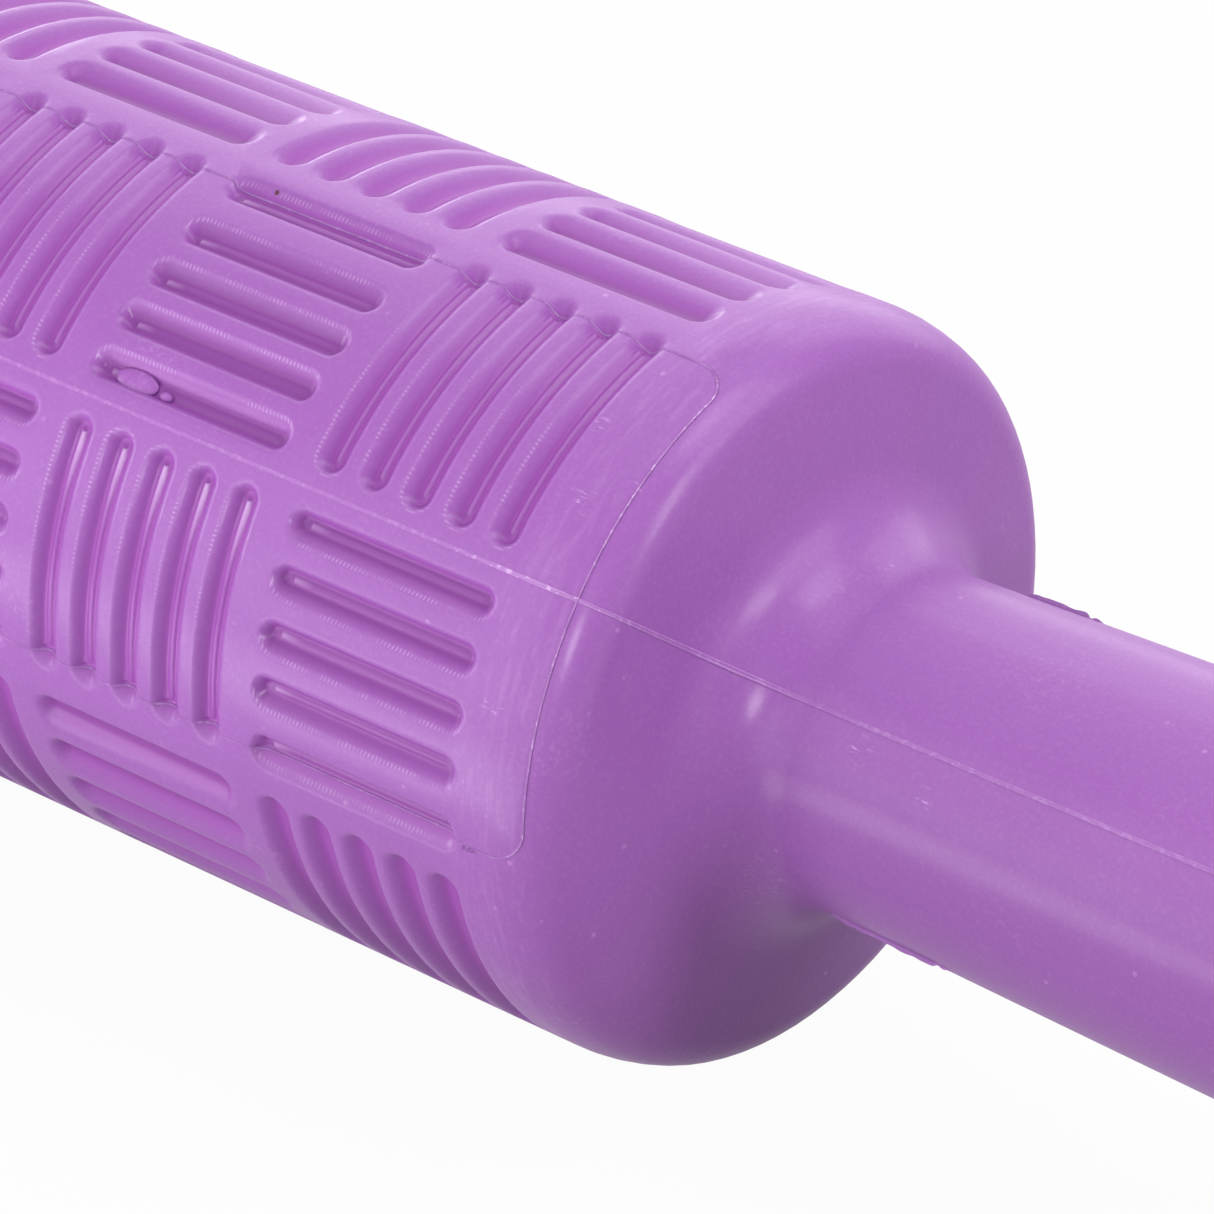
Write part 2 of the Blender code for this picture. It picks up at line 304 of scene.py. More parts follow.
class Outline:
    """Half section of the moulding, as (x, r) points from the drum to the end of a handle."""

    SKIN_STEPS = (9, 14)
    INNER_STEPS = (3, 5)

    def __init__(self, sizes: RollerSizes) -> None:
        """Lays the points of the outside and measures the length along them.

        Args:
            sizes: the moulding's sizes.
        """
        self.sizes = sizes
        points = self.outside(0.0, *self.SKIN_STEPS)
        self.points = np.array([(0.0, sizes.drum_radius)] + points)
        steps = np.hypot(*np.diff(self.points, axis=0).T)
        self.run = np.concatenate([[0.0], np.cumsum(steps)])

    def outside(self, offset: float, shoulder_steps: int, root_steps: int) -> Profile:
        """Shoulder, end face, root fillet and grip, moved out by offset.

        Args:
            offset: how far out the line lies, negative for the inner skin.
            shoulder_steps: steps round each of the shoulder's two arcs.
            root_steps: steps round the fillet at the handle's root.

        Returns:
            Points from the barrel's end to the start of the handle's rounded end.
        """
        s = self.sizes
        shoulder_r = s.drum_radius - s.shoulder_radius
        shoulder = self.shoulder(offset, shoulder_steps)
        root_r = s.handle_root_radius + s.root_radius
        both = s.shoulder_radius + s.root_radius
        drop = (shoulder_r - root_r) + both * math.cos(s.face_angle)
        root_x = s.half_barrel + drop / math.tan(s.face_angle) + both * math.sin(s.face_angle)
        root = arc((root_x, root_r), offset - s.root_radius, s.face_angle, 0.0, root_steps)
        grip_end = (s.half_length - s.handle_end_round, s.handle_end_radius + offset)
        return shoulder + root + [grip_end]

    def shoulder(self, offset: float, steps: int) -> Profile:
        """Two arcs from the drum to the end face, which lies where the solids have it.

        Args:
            offset: how far out the line lies.
            steps: steps of each arc.

        Returns:
            The shoulder's points.
        """
        s = self.sizes
        sine, cosine = math.sin(s.face_angle), math.cos(s.face_angle)
        face = (
            s.half_barrel * sine + (s.drum_radius - s.shoulder_radius) * cosine + s.shoulder_radius
        )
        gap = s.ease_radius - s.tight_radius
        tight_r = s.drum_radius - s.ease_radius + gap * math.cos(s.ease_angle)
        tight_x = (face - s.tight_radius - cosine * tight_r) / sine
        ease = (tight_x - gap * math.sin(s.ease_angle), s.drum_radius - s.ease_radius)
        first = arc(ease, s.ease_radius + offset, 0.0, s.ease_angle, steps)
        turned = (tight_x, tight_r)
        return first[:-1] + arc(turned, s.tight_radius + offset, s.ease_angle, s.face_angle, steps)

    def end_round(self, steps: int) -> Profile:
        """Rounded end of the handle, as points after the grip's last one."""
        s = self.sizes
        centre = (s.half_length - s.handle_end_round, s.handle_end_radius - s.handle_end_round)
        return arc(centre, s.handle_end_round, 0.0, math.pi / 2, steps)[1:]

    def at(self, run: np.ndarray) -> tuple[np.ndarray, np.ndarray, np.ndarray]:
        """Places along the outside, by the length run from the drum's middle.

        Args:
            run: signed lengths along the profile.

        Returns:
            x, radius and the slope's angle from straight out, one of each per length.
        """
        side = np.sign(run) + (run == 0)
        length = np.abs(run)
        x = np.interp(length, self.run, self.points[:, 0])
        radius = np.interp(length, self.run, self.points[:, 1])
        step = 0.05 * MM
        dx = np.interp(length + step, self.run, self.points[:, 0]) - x
        dr = np.interp(length + step, self.run, self.points[:, 1]) - radius
        ends = length + step >= self.run[-1]
        lean = np.where(ends, 0.0, np.arctan2(-dr, np.maximum(dx, 1e-9)))
        return side * x, radius, side * lean

    def wrap(self, run: np.ndarray, turn: np.ndarray, height: np.ndarray) -> np.ndarray:
        """Lays points given on the unrolled outside round the roller.

        Args:
            run: lengths along the profile from the drum's middle.
            turn: angles round the roller from the seam.
            height: how far out of the surface.

        Returns:
            One row of x, y and z per point.
        """
        x, radius, lean = self.at(run)
        angle = self.sizes.seam_angle + turn
        out = radius + height * np.cos(lean)
        shifted = x + height * np.sin(lean)
        return np.stack([shifted, -out * np.cos(angle), out * np.sin(angle)], axis=1)

    def run_at(self, x: float) -> float:
        """Length along the profile at a place along the roller."""
        return float(np.interp(x, self.points[:, 0], self.run))


class GrooveStyle(Enum):
    """Cross section of a groove, as (half width, height) in millimetres from the land inwards."""

    CRISP = (
        (1.55, 0.0),
        (1.43, -0.01),
        (1.31, -0.03),
        (1.19, -0.07),
        (1.07, -0.14),
        (0.95, -0.24),
        (0.83, -0.36),
        (0.71, -0.49),
        (0.60, -0.61),
        (0.50, -0.70),
        (0.41, -0.75),
        (0.33, -0.75),
        (0.26, -0.71),
        (0.19, -0.65),
        (0.12, -0.61),
    )
    SOFT = (
        (1.60, 0.0),
        (1.46, -0.025),
        (1.32, -0.07),
        (1.18, -0.145),
        (1.03, -0.25),
        (0.87, -0.38),
        (0.71, -0.52),
        (0.54, -0.65),
        (0.37, -0.75),
        (0.18, -0.80),
    )


class Lay(Enum):
    """Which way the grooves of a block run."""

    ALONG = "along the drum"
    AROUND = "around the drum"


def spin_profile(name: str, profile: Profile, steps: int) -> bpy.types.Object:
    """Draws a half section point by point and spins it round the roller's axis.

    Args:
        name: name of the new object.
        profile: (x, r) points.
        steps: facets round the axis.

    Returns:
        The turned object, with its place in its mesh.
    """
    spoke = SIZES.spoke(0.0)
    places = [Vector((x, 0, 0)) + radius * spoke for x, radius in profile]
    bpy.ops.object.select_all(action="DESELECT")
    bpy.ops.mesh.primitive_plane_add(size=MM, location=places[0])
    item = bpy.context.active_object
    item.name = name
    item.data.name = name
    settle(item)
    with editing(item):
        bpy.ops.mesh.select_all(action="SELECT")
        bpy.ops.mesh.merge(type="CENTER")
        for here, there in zip(places, places[1:]):
            bpy.ops.mesh.extrude_vertices_move(TRANSFORM_OT_translate={"value": there - here})
        bpy.ops.mesh.select_all(action="SELECT")
        bpy.ops.mesh.spin(steps=steps, angle=math.tau, center=(0, 0, 0), axis=(1, 0, 0))
        bpy.ops.mesh.select_all(action="SELECT")
        bpy.ops.mesh.remove_doubles(threshold=WELD)
        bpy.ops.mesh.normals_make_consistent(inside=False)
    return item


@dataclass
class WeaveSheet:
    """The basket weave of the drum, modelled flat and then rolled round the axis.

    In the flat sheet X runs along the drum, Y is the arc length from the seam and Z the height.
    """

    sizes: RollerSizes
    round_points: int = 16
    strips_per_row: int = 12
    panel_rows: tuple[int, ...] = (0, 3, 4, 7)
    rows_leaning_back: tuple[int, ...] = (0, 1, 4, 5)
    lean: float = 0.38
    soft_spread: float = 0.22
    ridge_half_width: float = 0.30 * MM
    ridge_start: float = 0.30 * MM
    valley_half_width: float = 0.45 * MM
    valley_start: float = 0.14 * MM
    around_pitch: float = 3.52 * MM
    around_shift: float = -0.1 * MM
    row_centres: tuple[tuple[float, ...], tuple[float, ...]] = (
        (2.30, 5.72, 9.15, 12.78, 17.10),
        (2.40, 5.97, 9.60, 13.25, 17.28),
    )
    insert_edge: float = 17.43 * MM
    edge_half_width: float = 0.02 * MM
    edge_drop: float = 0.16
    cap_ridge: float = 0.13 * MM
    rim_height: float = 0.035 * MM
    full_depth: float = 0.75 * MM
    along_ridge: float = 0.3
    nib_length: float = 1.6 * MM
    dim_start: float = 1.6
    dim_width: float = 0.55 * MM
    sunk_power: float = 1.5
    scoop_depth: float = 0.86 * MM
    scoop_half_width: float = 1.5 * MM
    scoop_power: float = 1.3
    cap_ridge_share: float = 0.18
    cap_ridge_from: float = 0.25 * MM
    cap_ridge_to: float = 1.15 * MM
    rim_middle: float = 1.26 * MM
    rim_half_width: float = 0.16 * MM
    rim_gain: float = 1.5
    lip_middle_along: float = 1.10 * MM
    lip_middle_around: float = 1.28 * MM
    lip_half_width: float = 0.19 * MM
    lip_gain: float = 1.4
    lip_start: float = 1.3
    lip_fade: float = 14.0 * MM
    lip_least: float = 0.3
    # Painted highlight along the floor ridges of crisp grooves, and at the nibs of those that run
    # along the drum.
    floor_highlight_start: float = 1.3
    floor_highlight_width: float = 0.20 * MM
    floor_highlight_along: float = 0.4
    floor_highlight_far: float = 0.14
    floor_highlight_fade: float = 4.6 * MM

    @property
    def nib_start(self) -> float:
        """Where the ridge of a groove's floor starts, from the block's edge."""
        return self.sizes.groove_margin + self.ridge_start - self.ridge_half_width / 2

    def centres(self, lay: Lay, style: GrooveStyle, toward_seam: int) -> np.ndarray:
        """Centre lines of a block's five grooves, across them from the block's corner.

        Args:
            lay: which way the grooves run.
            style: their cross section.
            toward_seam: 1 where the nearest seam lies at the block's end, -1 at its start.

        Returns:
            One place per groove.
        """
        s = self.sizes
        if lay is Lay.AROUND:
            middle = s.column_pitch / 2 + self.around_shift
            return middle + (np.arange(s.grooves_per_block) - 2) * self.around_pitch
        if style is GrooveStyle.CRISP:
            if toward_seam < 0:
                return np.array(self.row_centres[0]) * MM
            return s.row_pitch - np.array(self.row_centres[1]) * MM
        margin = s.groove_margin
        return np.linspace(margin, s.row_pitch - margin, s.grooves_per_block)

    def groove(self, length: float, style: GrooveStyle, spread_side: int) -> bpy.types.Object:
        """One groove from the origin along X: a stretched disc, sunk by insets.

        Args:
            length: distance between the centres of the two round ends.
            style: the groove's cross section.
            spread_side: the side on which a soft wall is wider, 0 for neither.

        Returns:
            The groove, open at its outermost edge.
        """
        stations = style.value
        bpy.ops.object.select_all(action="DESELECT")
        bpy.ops.mesh.primitive_circle_add(
            vertices=self.round_points,
            radius=stations[0][0] * MM,
            fill_type="NGON",
            rotation=(0, 0, math.pi / self.round_points),
        )
        item = bpy.context.active_object
        settle(item)
        with editing(item):
            pick_verts(item, lambda place: place.x > 0)
            bpy.ops.transform.translate(value=(length, 0, 0))
            bpy.ops.mesh.select_all(action="SELECT")
            for (wide, high), (narrow, low) in zip(stations, stations[1:]):
                bpy.ops.mesh.inset(thickness=(wide - narrow) * MM, depth=(low - high) * MM)
        if style is GrooveStyle.CRISP:
            points = points_of(item)
            beyond = np.where(points[:, 0] < length / 2, -points[:, 0], points[:, 0] - length)
            inward = np.where(points[:, 0] < length / 2, 1.0, -1.0)
            reach = np.hypot(np.maximum(beyond, 0.0), points[:, 1])
            shift = np.where(reach < self.ridge_half_width, self.ridge_start, self.valley_start)
            shift *= (beyond > -WELD) & (reach < self.valley_half_width)
            points[:, 0] += inward * shift
            move_points(item, points)
        elif spread_side:
            points = points_of(item)
            points[:, 1] *= np.where(points[:, 1] * spread_side > 0, 1.0 + self.soft_spread, 1.0)
            move_points(item, points)
        return item

    def block(self, lay: Lay, style: GrooveStyle, toward_seam: int) -> bpy.types.Object:
        """One block of five grooves with the land round them, its corner at the origin.

        Args:
            lay: which way its grooves run.
            style: their cross section.
            toward_seam: 1 where the nearest seam lies at the block's end, -1 at its start.

        Returns:
            The flat block, cut into the narrow strips that the rolling needs.
        """
        s = self.sizes
        margin = s.groove_margin
        wide, high = s.column_pitch, s.row_pitch
        length = wide if lay is Lay.ALONG else high
        groove = self.groove(length - 2 * margin, style, -toward_seam if lay is Lay.ALONG else 0)
        centres = self.centres(lay, style, toward_seam)
        parts = [self.border(wide, high)]
        for centre in centres:
            placing = Matrix.Translation((margin, centre, 0))
            if lay is Lay.AROUND:
                placing = Matrix(((0, 1, 0, 0), (1, 0, 0, 0), (0, 0, 1, 0), (0, 0, 0, 1))) @ placing
            parts.append(own_copy(groove, placing))
        throw_away(groove)
        block = join(parts, "weave_block")
        self.fill_land(block)
        self.cut_strips(block)
        if style is GrooveStyle.CRISP:
            self.cut_insert_edge(block, toward_seam)
            if lay is Lay.ALONG:
                self.cut_nibs(block)
        points = points_of(block)
        steps = self.from_groove(points, lay, margin, centres)
        self.mark_lips(block, lay, style, toward_seam, steps)
        if style is GrooveStyle.CRISP:
            if lay is Lay.ALONG:
                on_floor = np.hypot(steps[:, 0], steps[:, 1]) < self.ridge_half_width
                lower = -self.full_depth + self.along_ridge * (points[:, 2] + self.full_depth)
                points[:, 2] = np.where(on_floor, lower, points[:, 2])
            points[:, 2] = self.past_insert(points, steps, lay, toward_seam)
            points[:, 2] += self.rim(steps, lay, toward_seam)
        # Painted shade along the middle of the floors of grooves that run along the drum.
        if lay is Lay.ALONG:
            near_middle = self.dim_start - np.abs(steps[:, 1]) / self.dim_width
            keep_value(block, "dim", np.clip(near_middle, 0.0, 1.0))
        else:
            keep_value(block, "dim", np.zeros(len(points)))
        # Share of painted shade, growing with depth in the grooves.
        keep_value(block, "sunk", ramp(-points[:, 2], self.full_depth) ** self.sunk_power)
        points[:, 1] += np.maximum(-points[:, 2], 0.0) * self.lean * toward_seam
        move_points(block, points)
        return block

    def border(self, wide: float, high: float) -> bpy.types.Object:
        """The four edges round a block."""
        bpy.ops.object.select_all(action="DESELECT")
        bpy.ops.mesh.primitive_plane_add(size=1, location=(0.5, 0.5, 0))
        item = bpy.context.active_object
        settle(item)
        with editing(item):
            bpy.ops.mesh.select_all(action="SELECT")
            bpy.ops.transform.resize(value=(wide, high, 1), center_override=(0, 0, 0))
            bpy.ops.mesh.delete(type="ONLY_FACE")
        return item

    def fill_land(self, block: bpy.types.Object) -> None:
        """Fills between the border and the grooves, and faces all of it upwards."""
        with editing(block):
            bpy.ops.mesh.select_mode(type="EDGE")
            bpy.ops.mesh.select_all(action="DESELECT")
            bpy.ops.mesh.select_non_manifold(
                extend=False,
                use_wire=True,
                use_boundary=True,
                use_multi_face=False,
                use_non_contiguous=False,
                use_verts=False,
            )
            bpy.ops.mesh.fill(use_beauty=True)
            bpy.ops.mesh.select_mode(type="FACE")
            pick_faces(block, lambda face: face.normal.z < 0)
            bpy.ops.mesh.flip_normals()
            bpy.ops.mesh.select_mode(type="VERT")

    def cut_strips(self, block: bpy.types.Object) -> None:
        """Cuts a block across at every line where the rolled drum bends."""
        pitch = self.sizes.row_pitch
        lines = [strip * pitch / self.strips_per_row for strip in range(1, self.strips_per_row)]
        cut_across(block, [(0, line, 0) for line in lines], (0, 1, 0))

    def cut_insert_edge(self, block: bpy.types.Object, toward_seam: int) -> None:
        """Cuts a block on both sides of the mould insert's edge, for a step in the grooves."""
        edge = self.insert_edge if toward_seam < 0 else self.sizes.row_pitch - self.insert_edge
        lines = [edge + side * self.edge_half_width for side in (-1, 1)]
        cut_across(block, [(0, line, 0) for line in lines], (0, 1, 0))

    def cut_nibs(self, block: bpy.types.Object) -> None:
        """Cuts a block across beside the ridges' left ends, where their shine fades."""
        places = [self.nib_start + share * self.nib_length for share in (0.0, 0.5, 1.0)]
        cut_across(block, [(place, 0, 0) for place in places], (1, 0, 0))

    def past_insert(
        self, points: np.ndarray, steps: np.ndarray, lay: Lay, toward_seam: int
    ) -> np.ndarray:
        """Heights of a crisp block, with the grooves deeper and smoother past the insert's edge.

        Args:
            points: one row per point of the block.
            steps: steps from the nearest groove to each point.
            lay: which way the grooves run.
            toward_seam: 1 where the nearest seam lies at the block's end, -1 at its start.

        Returns:
            One height per point.
        """
        from_seam = points[:, 1] if toward_seam < 0 else self.sizes.row_pitch - points[:, 1]
        past = from_seam > self.insert_edge
        reach = np.hypot(steps[:, 0], steps[:, 1])
        if lay is Lay.ALONG:
            fullness = np.clip(1.0 - (reach / self.scoop_half_width) ** 2, 0.0, 1.0)
            return np.where(past, -self.scoop_depth * fullness**self.scoop_power, points[:, 2])
        deeper = points[:, 2] * (1.0 + self.edge_drop)
        on_ridge = np.abs(steps[:, 0]) < self.cap_ridge_share * reach
        on_ridge &= (reach > self.cap_ridge_from) & (reach < self.cap_ridge_to)
        deeper += self.cap_ridge * on_ridge
        return np.where(past, deeper, points[:, 2])

    def from_groove(
        self, points: np.ndarray, lay: Lay, margin: float, centres: np.ndarray
    ) -> np.ndarray:
        """Steps from the nearest groove's centre line to each point of a block.

        Args:
            points: one row per point.
            lay: which way the grooves run.
            margin: from the block's edge to the centre of a groove's round end.
            centres: the grooves' centre lines.

        Returns:
            One row of x and y per point.
        """
        along, across = (0, 1) if lay is Lay.ALONG else (1, 0)
        width = (self.sizes.column_pitch, self.sizes.row_pitch)[along]
        steps = np.empty((len(points), 2))
        every = points[:, across, None] - centres
        steps[:, across] = every[np.arange(len(points)), np.abs(every).argmin(axis=1)]
        steps[:, along] = points[:, along] - np.clip(points[:, along], margin, width - margin)
        return steps

    def rim(self, steps: np.ndarray, lay: Lay, toward_seam: int) -> np.ndarray:
        """Height of the burr that the mould insert leaves on one side of each groove.

        Args:
            steps: steps from the nearest groove to each point of the block.
            lay: which way the grooves run.
            toward_seam: 1 where the nearest seam lies at the block's end, -1 at its start.

        Returns:
            One height per point.
        """
        reach = np.hypot(steps[:, 0], steps[:, 1])
        seam_share = steps[:, 1] * toward_seam / np.maximum(reach, WELD)
        left_share = -steps[:, 0] / np.maximum(reach, WELD)
        side = np.maximum(left_share, -seam_share if lay is Lay.ALONG else seam_share)
        crest = np.clip(1.0 - np.abs(reach - self.rim_middle) / self.rim_half_width, 0.0, 1.0)
        return self.rim_height * crest * np.clip(side * self.rim_gain, 0.0, 1.0)

    def mark_lips(
        self,
        block: bpy.types.Object,
        lay: Lay,
        style: GrooveStyle,
        toward_seam: int,
        steps: np.ndarray,
    ) -> None:
        """Marks lips and floors of crisp grooves: the milling ridges on the lips, a painted
        highlight on the lips and a painted highlight along the floor ridges.

        Args:
            block: the flat block.
            lay: which way its grooves run.
            style: their cross section.
            toward_seam: 1 where the nearest seam lies at the block's end, -1 at its start.
            steps: steps from the nearest groove to each point of the block.
        """
        points = points_of(block)
        reach = np.hypot(steps[:, 0], steps[:, 1])
        middle = self.lip_middle_along if lay is Lay.ALONG else self.lip_middle_around
        lip = np.clip(1.0 - np.abs(reach - middle) / self.lip_half_width, 0.0, 1.0)
        ridge = np.clip(self.floor_highlight_start - reach / self.floor_highlight_width, 0.0, 1.0)
        if lay is Lay.ALONG:
            lip *= steps[:, 1] * toward_seam < 0
            from_nib = points[:, 0] - self.nib_start
            fading = np.clip(1.0 - from_nib / self.nib_length, 0.0, 1.0)
            floor_highlight = self.floor_highlight_along * fading * (from_nib > 0)
        else:
            leftward = np.clip(-steps[:, 0] / np.maximum(reach, WELD) * self.lip_gain, 0.0, 1.0)
            seamward = np.clip(steps[:, 1] * toward_seam / np.maximum(reach, WELD), 0.0, 1.0)
            from_seam = points[:, 1] if toward_seam < 0 else self.sizes.row_pitch - points[:, 1]
            lip *= np.maximum(leftward, seamward)
            lip *= np.clip(self.lip_start - from_seam / self.lip_fade, self.lip_least, 1.0)
            from_nib = from_seam - self.nib_start
            fading = np.clip(1.0 - from_nib / self.floor_highlight_fade, 0.0, 1.0)
            floor_highlight = (fading if toward_seam > 0 else self.floor_highlight_far) * (from_nib > 0)
        crisp = float(style is GrooveStyle.CRISP)
        # Painted highlights: a paler band on the lips, which also carry the milling ridges, and a
        # bright line along the floor ridges.
        keep_value(block, "lip", lip * crisp)
        keep_value(block, "floor_highlight", floor_highlight * ridge * crisp)
        keep_value(block, "along", points[:, 0 if lay is Lay.ALONG else 1])

    def build(self) -> bpy.types.Object:
        """Lays all the blocks side by side.

        Returns:
            The flat sheet, with the flat normals kept per vertex.
        """
        s = self.sizes
        blocks = {
            (lay, style, side): self.block(lay, style, side)
            for lay in Lay
            for style in GrooveStyle
            for side in (-1, 1)
        }
        laid = []
        for row in range(s.row_count):
            style = GrooveStyle.CRISP if row in self.panel_rows else GrooveStyle.SOFT
            side = -1 if row in self.rows_leaning_back else 1
            for column in range(s.column_count):
                lay = Lay.ALONG if (column + row) % 2 else Lay.AROUND
                corner = (column * s.column_pitch - s.half_weave, row * s.row_pitch, 0)
                laid.append(own_copy(blocks[lay, style, side], Matrix.Translation(corner)))
        throw_away(*blocks.values())
        sheet = join(laid, "weave_sheet")
        normals = np.empty(len(sheet.data.vertices) * 3, np.float32)
        sheet.data.vertices.foreach_get("normal", normals)
        keep_value(sheet, "sheet_normal", normals.reshape(-1, 3))
        return sheet

    def roll(self, sheet: bpy.types.Object) -> None:
        """Rolls the flat sheet round the axis, its normals with it."""
        s = self.sizes
        points = points_of(sheet)
        turn = s.seam_angle + points[:, 1] / s.drum_radius
        out = s.drum_radius + points[:, 2]
        rolled = [points[:, 0], -out * np.cos(turn), out * np.sin(turn)]
        move_points(sheet, np.stack(rolled, axis=1))
        layer = sheet.data.attributes["sheet_normal"]
        flat = np.empty(len(turn) * 3, np.float32)
        layer.data.foreach_get("vector", flat)
        flat = flat.reshape(-1, 3)
        rolled = np.stack(
            [
                flat[:, 0],
                flat[:, 1] * np.sin(turn) - flat[:, 2] * np.cos(turn),
                flat[:, 1] * np.cos(turn) + flat[:, 2] * np.sin(turn),
            ],
            axis=1,
        )
        layer.data.foreach_set("vector", rolled.astype(np.float32).ravel())


@dataclass
class Moulding:
    """The whole moulding: the woven drum, shoulders, end faces and both handles in one skin."""

    sizes: RollerSizes
    outline: Outline
    name: str = "roller_moulding"
    steps: int = 96
    grip_steps: int = 10
    end_steps: int = 8
    mouth_round: float = 0.2 * MM
    mouth_steps: int = 4
    sharp_angle: float = math.radians(40.0)
    least_normal: float = 0.25

    def half_section(self) -> Profile:
        """Half section at one end, from the edge of the weave to the inner skin."""
        s = self.sizes
        skin = self.outline.outside(0.0, *Outline.SKIN_STEPS)
        grip_start, grip_end = skin[-2], skin[-1]
        grip = [
            (
                grip_start[0] + (grip_end[0] - grip_start[0]) * step / self.grip_steps,
                grip_start[1] + (grip_end[1] - grip_start[1]) * step / self.grip_steps,
            )
            for step in range(1, self.grip_steps)
        ]
        mouth = [
            (
                s.half_length - self.mouth_round + self.mouth_round * math.cos(angle),
                s.recess_radius + self.mouth_round - self.mouth_round * math.sin(angle),
            )
            for angle in quarter_turn(self.mouth_steps)
        ]
        seat_x = s.half_length - s.recess_depth
        bore = [
            (seat_x, s.recess_radius),
            (seat_x, s.bore_radius),
            (seat_x - s.end_wall, s.bore_radius),
            (seat_x - s.end_wall, s.handle_end_radius - s.wall),
        ]
        inside = self.outline.outside(-s.wall, *Outline.INNER_STEPS)[:-1]
        outer = skin[:-1] + grip + [grip_end] + self.outline.end_round(self.end_steps)
        return [(s.half_weave, s.drum_radius)] + outer + mouth + bore + inside[::-1]

    def build(self, sheet: bpy.types.Object) -> bpy.types.Object:
        """Joins the rolled sheet to the turned ends.

        Args:
            sheet: the rolled sheet of the weave. It becomes part of the moulding.

        Returns:
            The finished moulding.
        """
        right = self.half_section()
        left = [(-x, radius) for x, radius in reversed(right)]
        ends = spin_profile("turned_ends", right + left, self.steps)
        body = join([sheet, ends], self.name)
        self.smooth(body)
        return body

    def smooth(self, body: bpy.types.Object) -> None:
        """Shades the moulding smooth, with the weave's own normals on the drum."""
        mesh = body.data
        mesh.shade_smooth()
        mesh.set_sharp_from_angle(angle=self.sharp_angle)
        loops = len(mesh.loops)
        corner = np.empty(loops * 3, np.float32)
        mesh.corner_normals.foreach_get("vector", corner)
        corner = corner.reshape(-1, 3)
        vertex = np.empty(loops, np.int32)
        mesh.loops.foreach_get("vertex_index", vertex)
        kept = np.empty(len(mesh.vertices) * 3, np.float32)
        mesh.attributes["sheet_normal"].data.foreach_get("vector", kept)
        kept = kept.reshape(-1, 3)
        size = np.linalg.norm(kept, axis=1)
        woven = size > self.least_normal
        kept[woven] /= size[woven, None]
        corner[woven[vertex]] = kept[vertex][woven[vertex]]
        mesh.attributes.remove(mesh.attributes["sheet_normal"])
        mesh.normals_split_custom_set(corner.tolist())


@dataclass
class SheetProbe:
    """Feels how deep the flat weave lies under a place."""

    sizes: RollerSizes
    tree: BVHTree

    @classmethod
    def of(cls, sizes: RollerSizes, sheet: bpy.types.Object) -> "SheetProbe":
        """Makes a probe from the flat sheet, before it is rolled."""
        points = [vert.co.copy() for vert in sheet.data.vertices]
        faces = [tuple(face.vertices) for face in sheet.data.polygons]
        return cls(sizes, BVHTree.FromPolygons(points, faces))

    def heights(self, x: np.ndarray, turn: np.ndarray) -> np.ndarray:
        """Heights of the surface over the drum's circle, zero off the weave.

        Args:
            x: places along the roller.
            turn: angles from the seam.

        Returns:
            One height per place.
        """
        around = math.tau * self.sizes.drum_radius
        down = Vector((0, 0, -1))
        found = []
        for place, angle in zip(x, turn):
            above = Vector((place, (angle * self.sizes.drum_radius) % around, 5 * MM))
            hit = self.tree.ray_cast(above, down)[0]
            found.append(hit.z if hit else 0.0)
        return np.array(found)


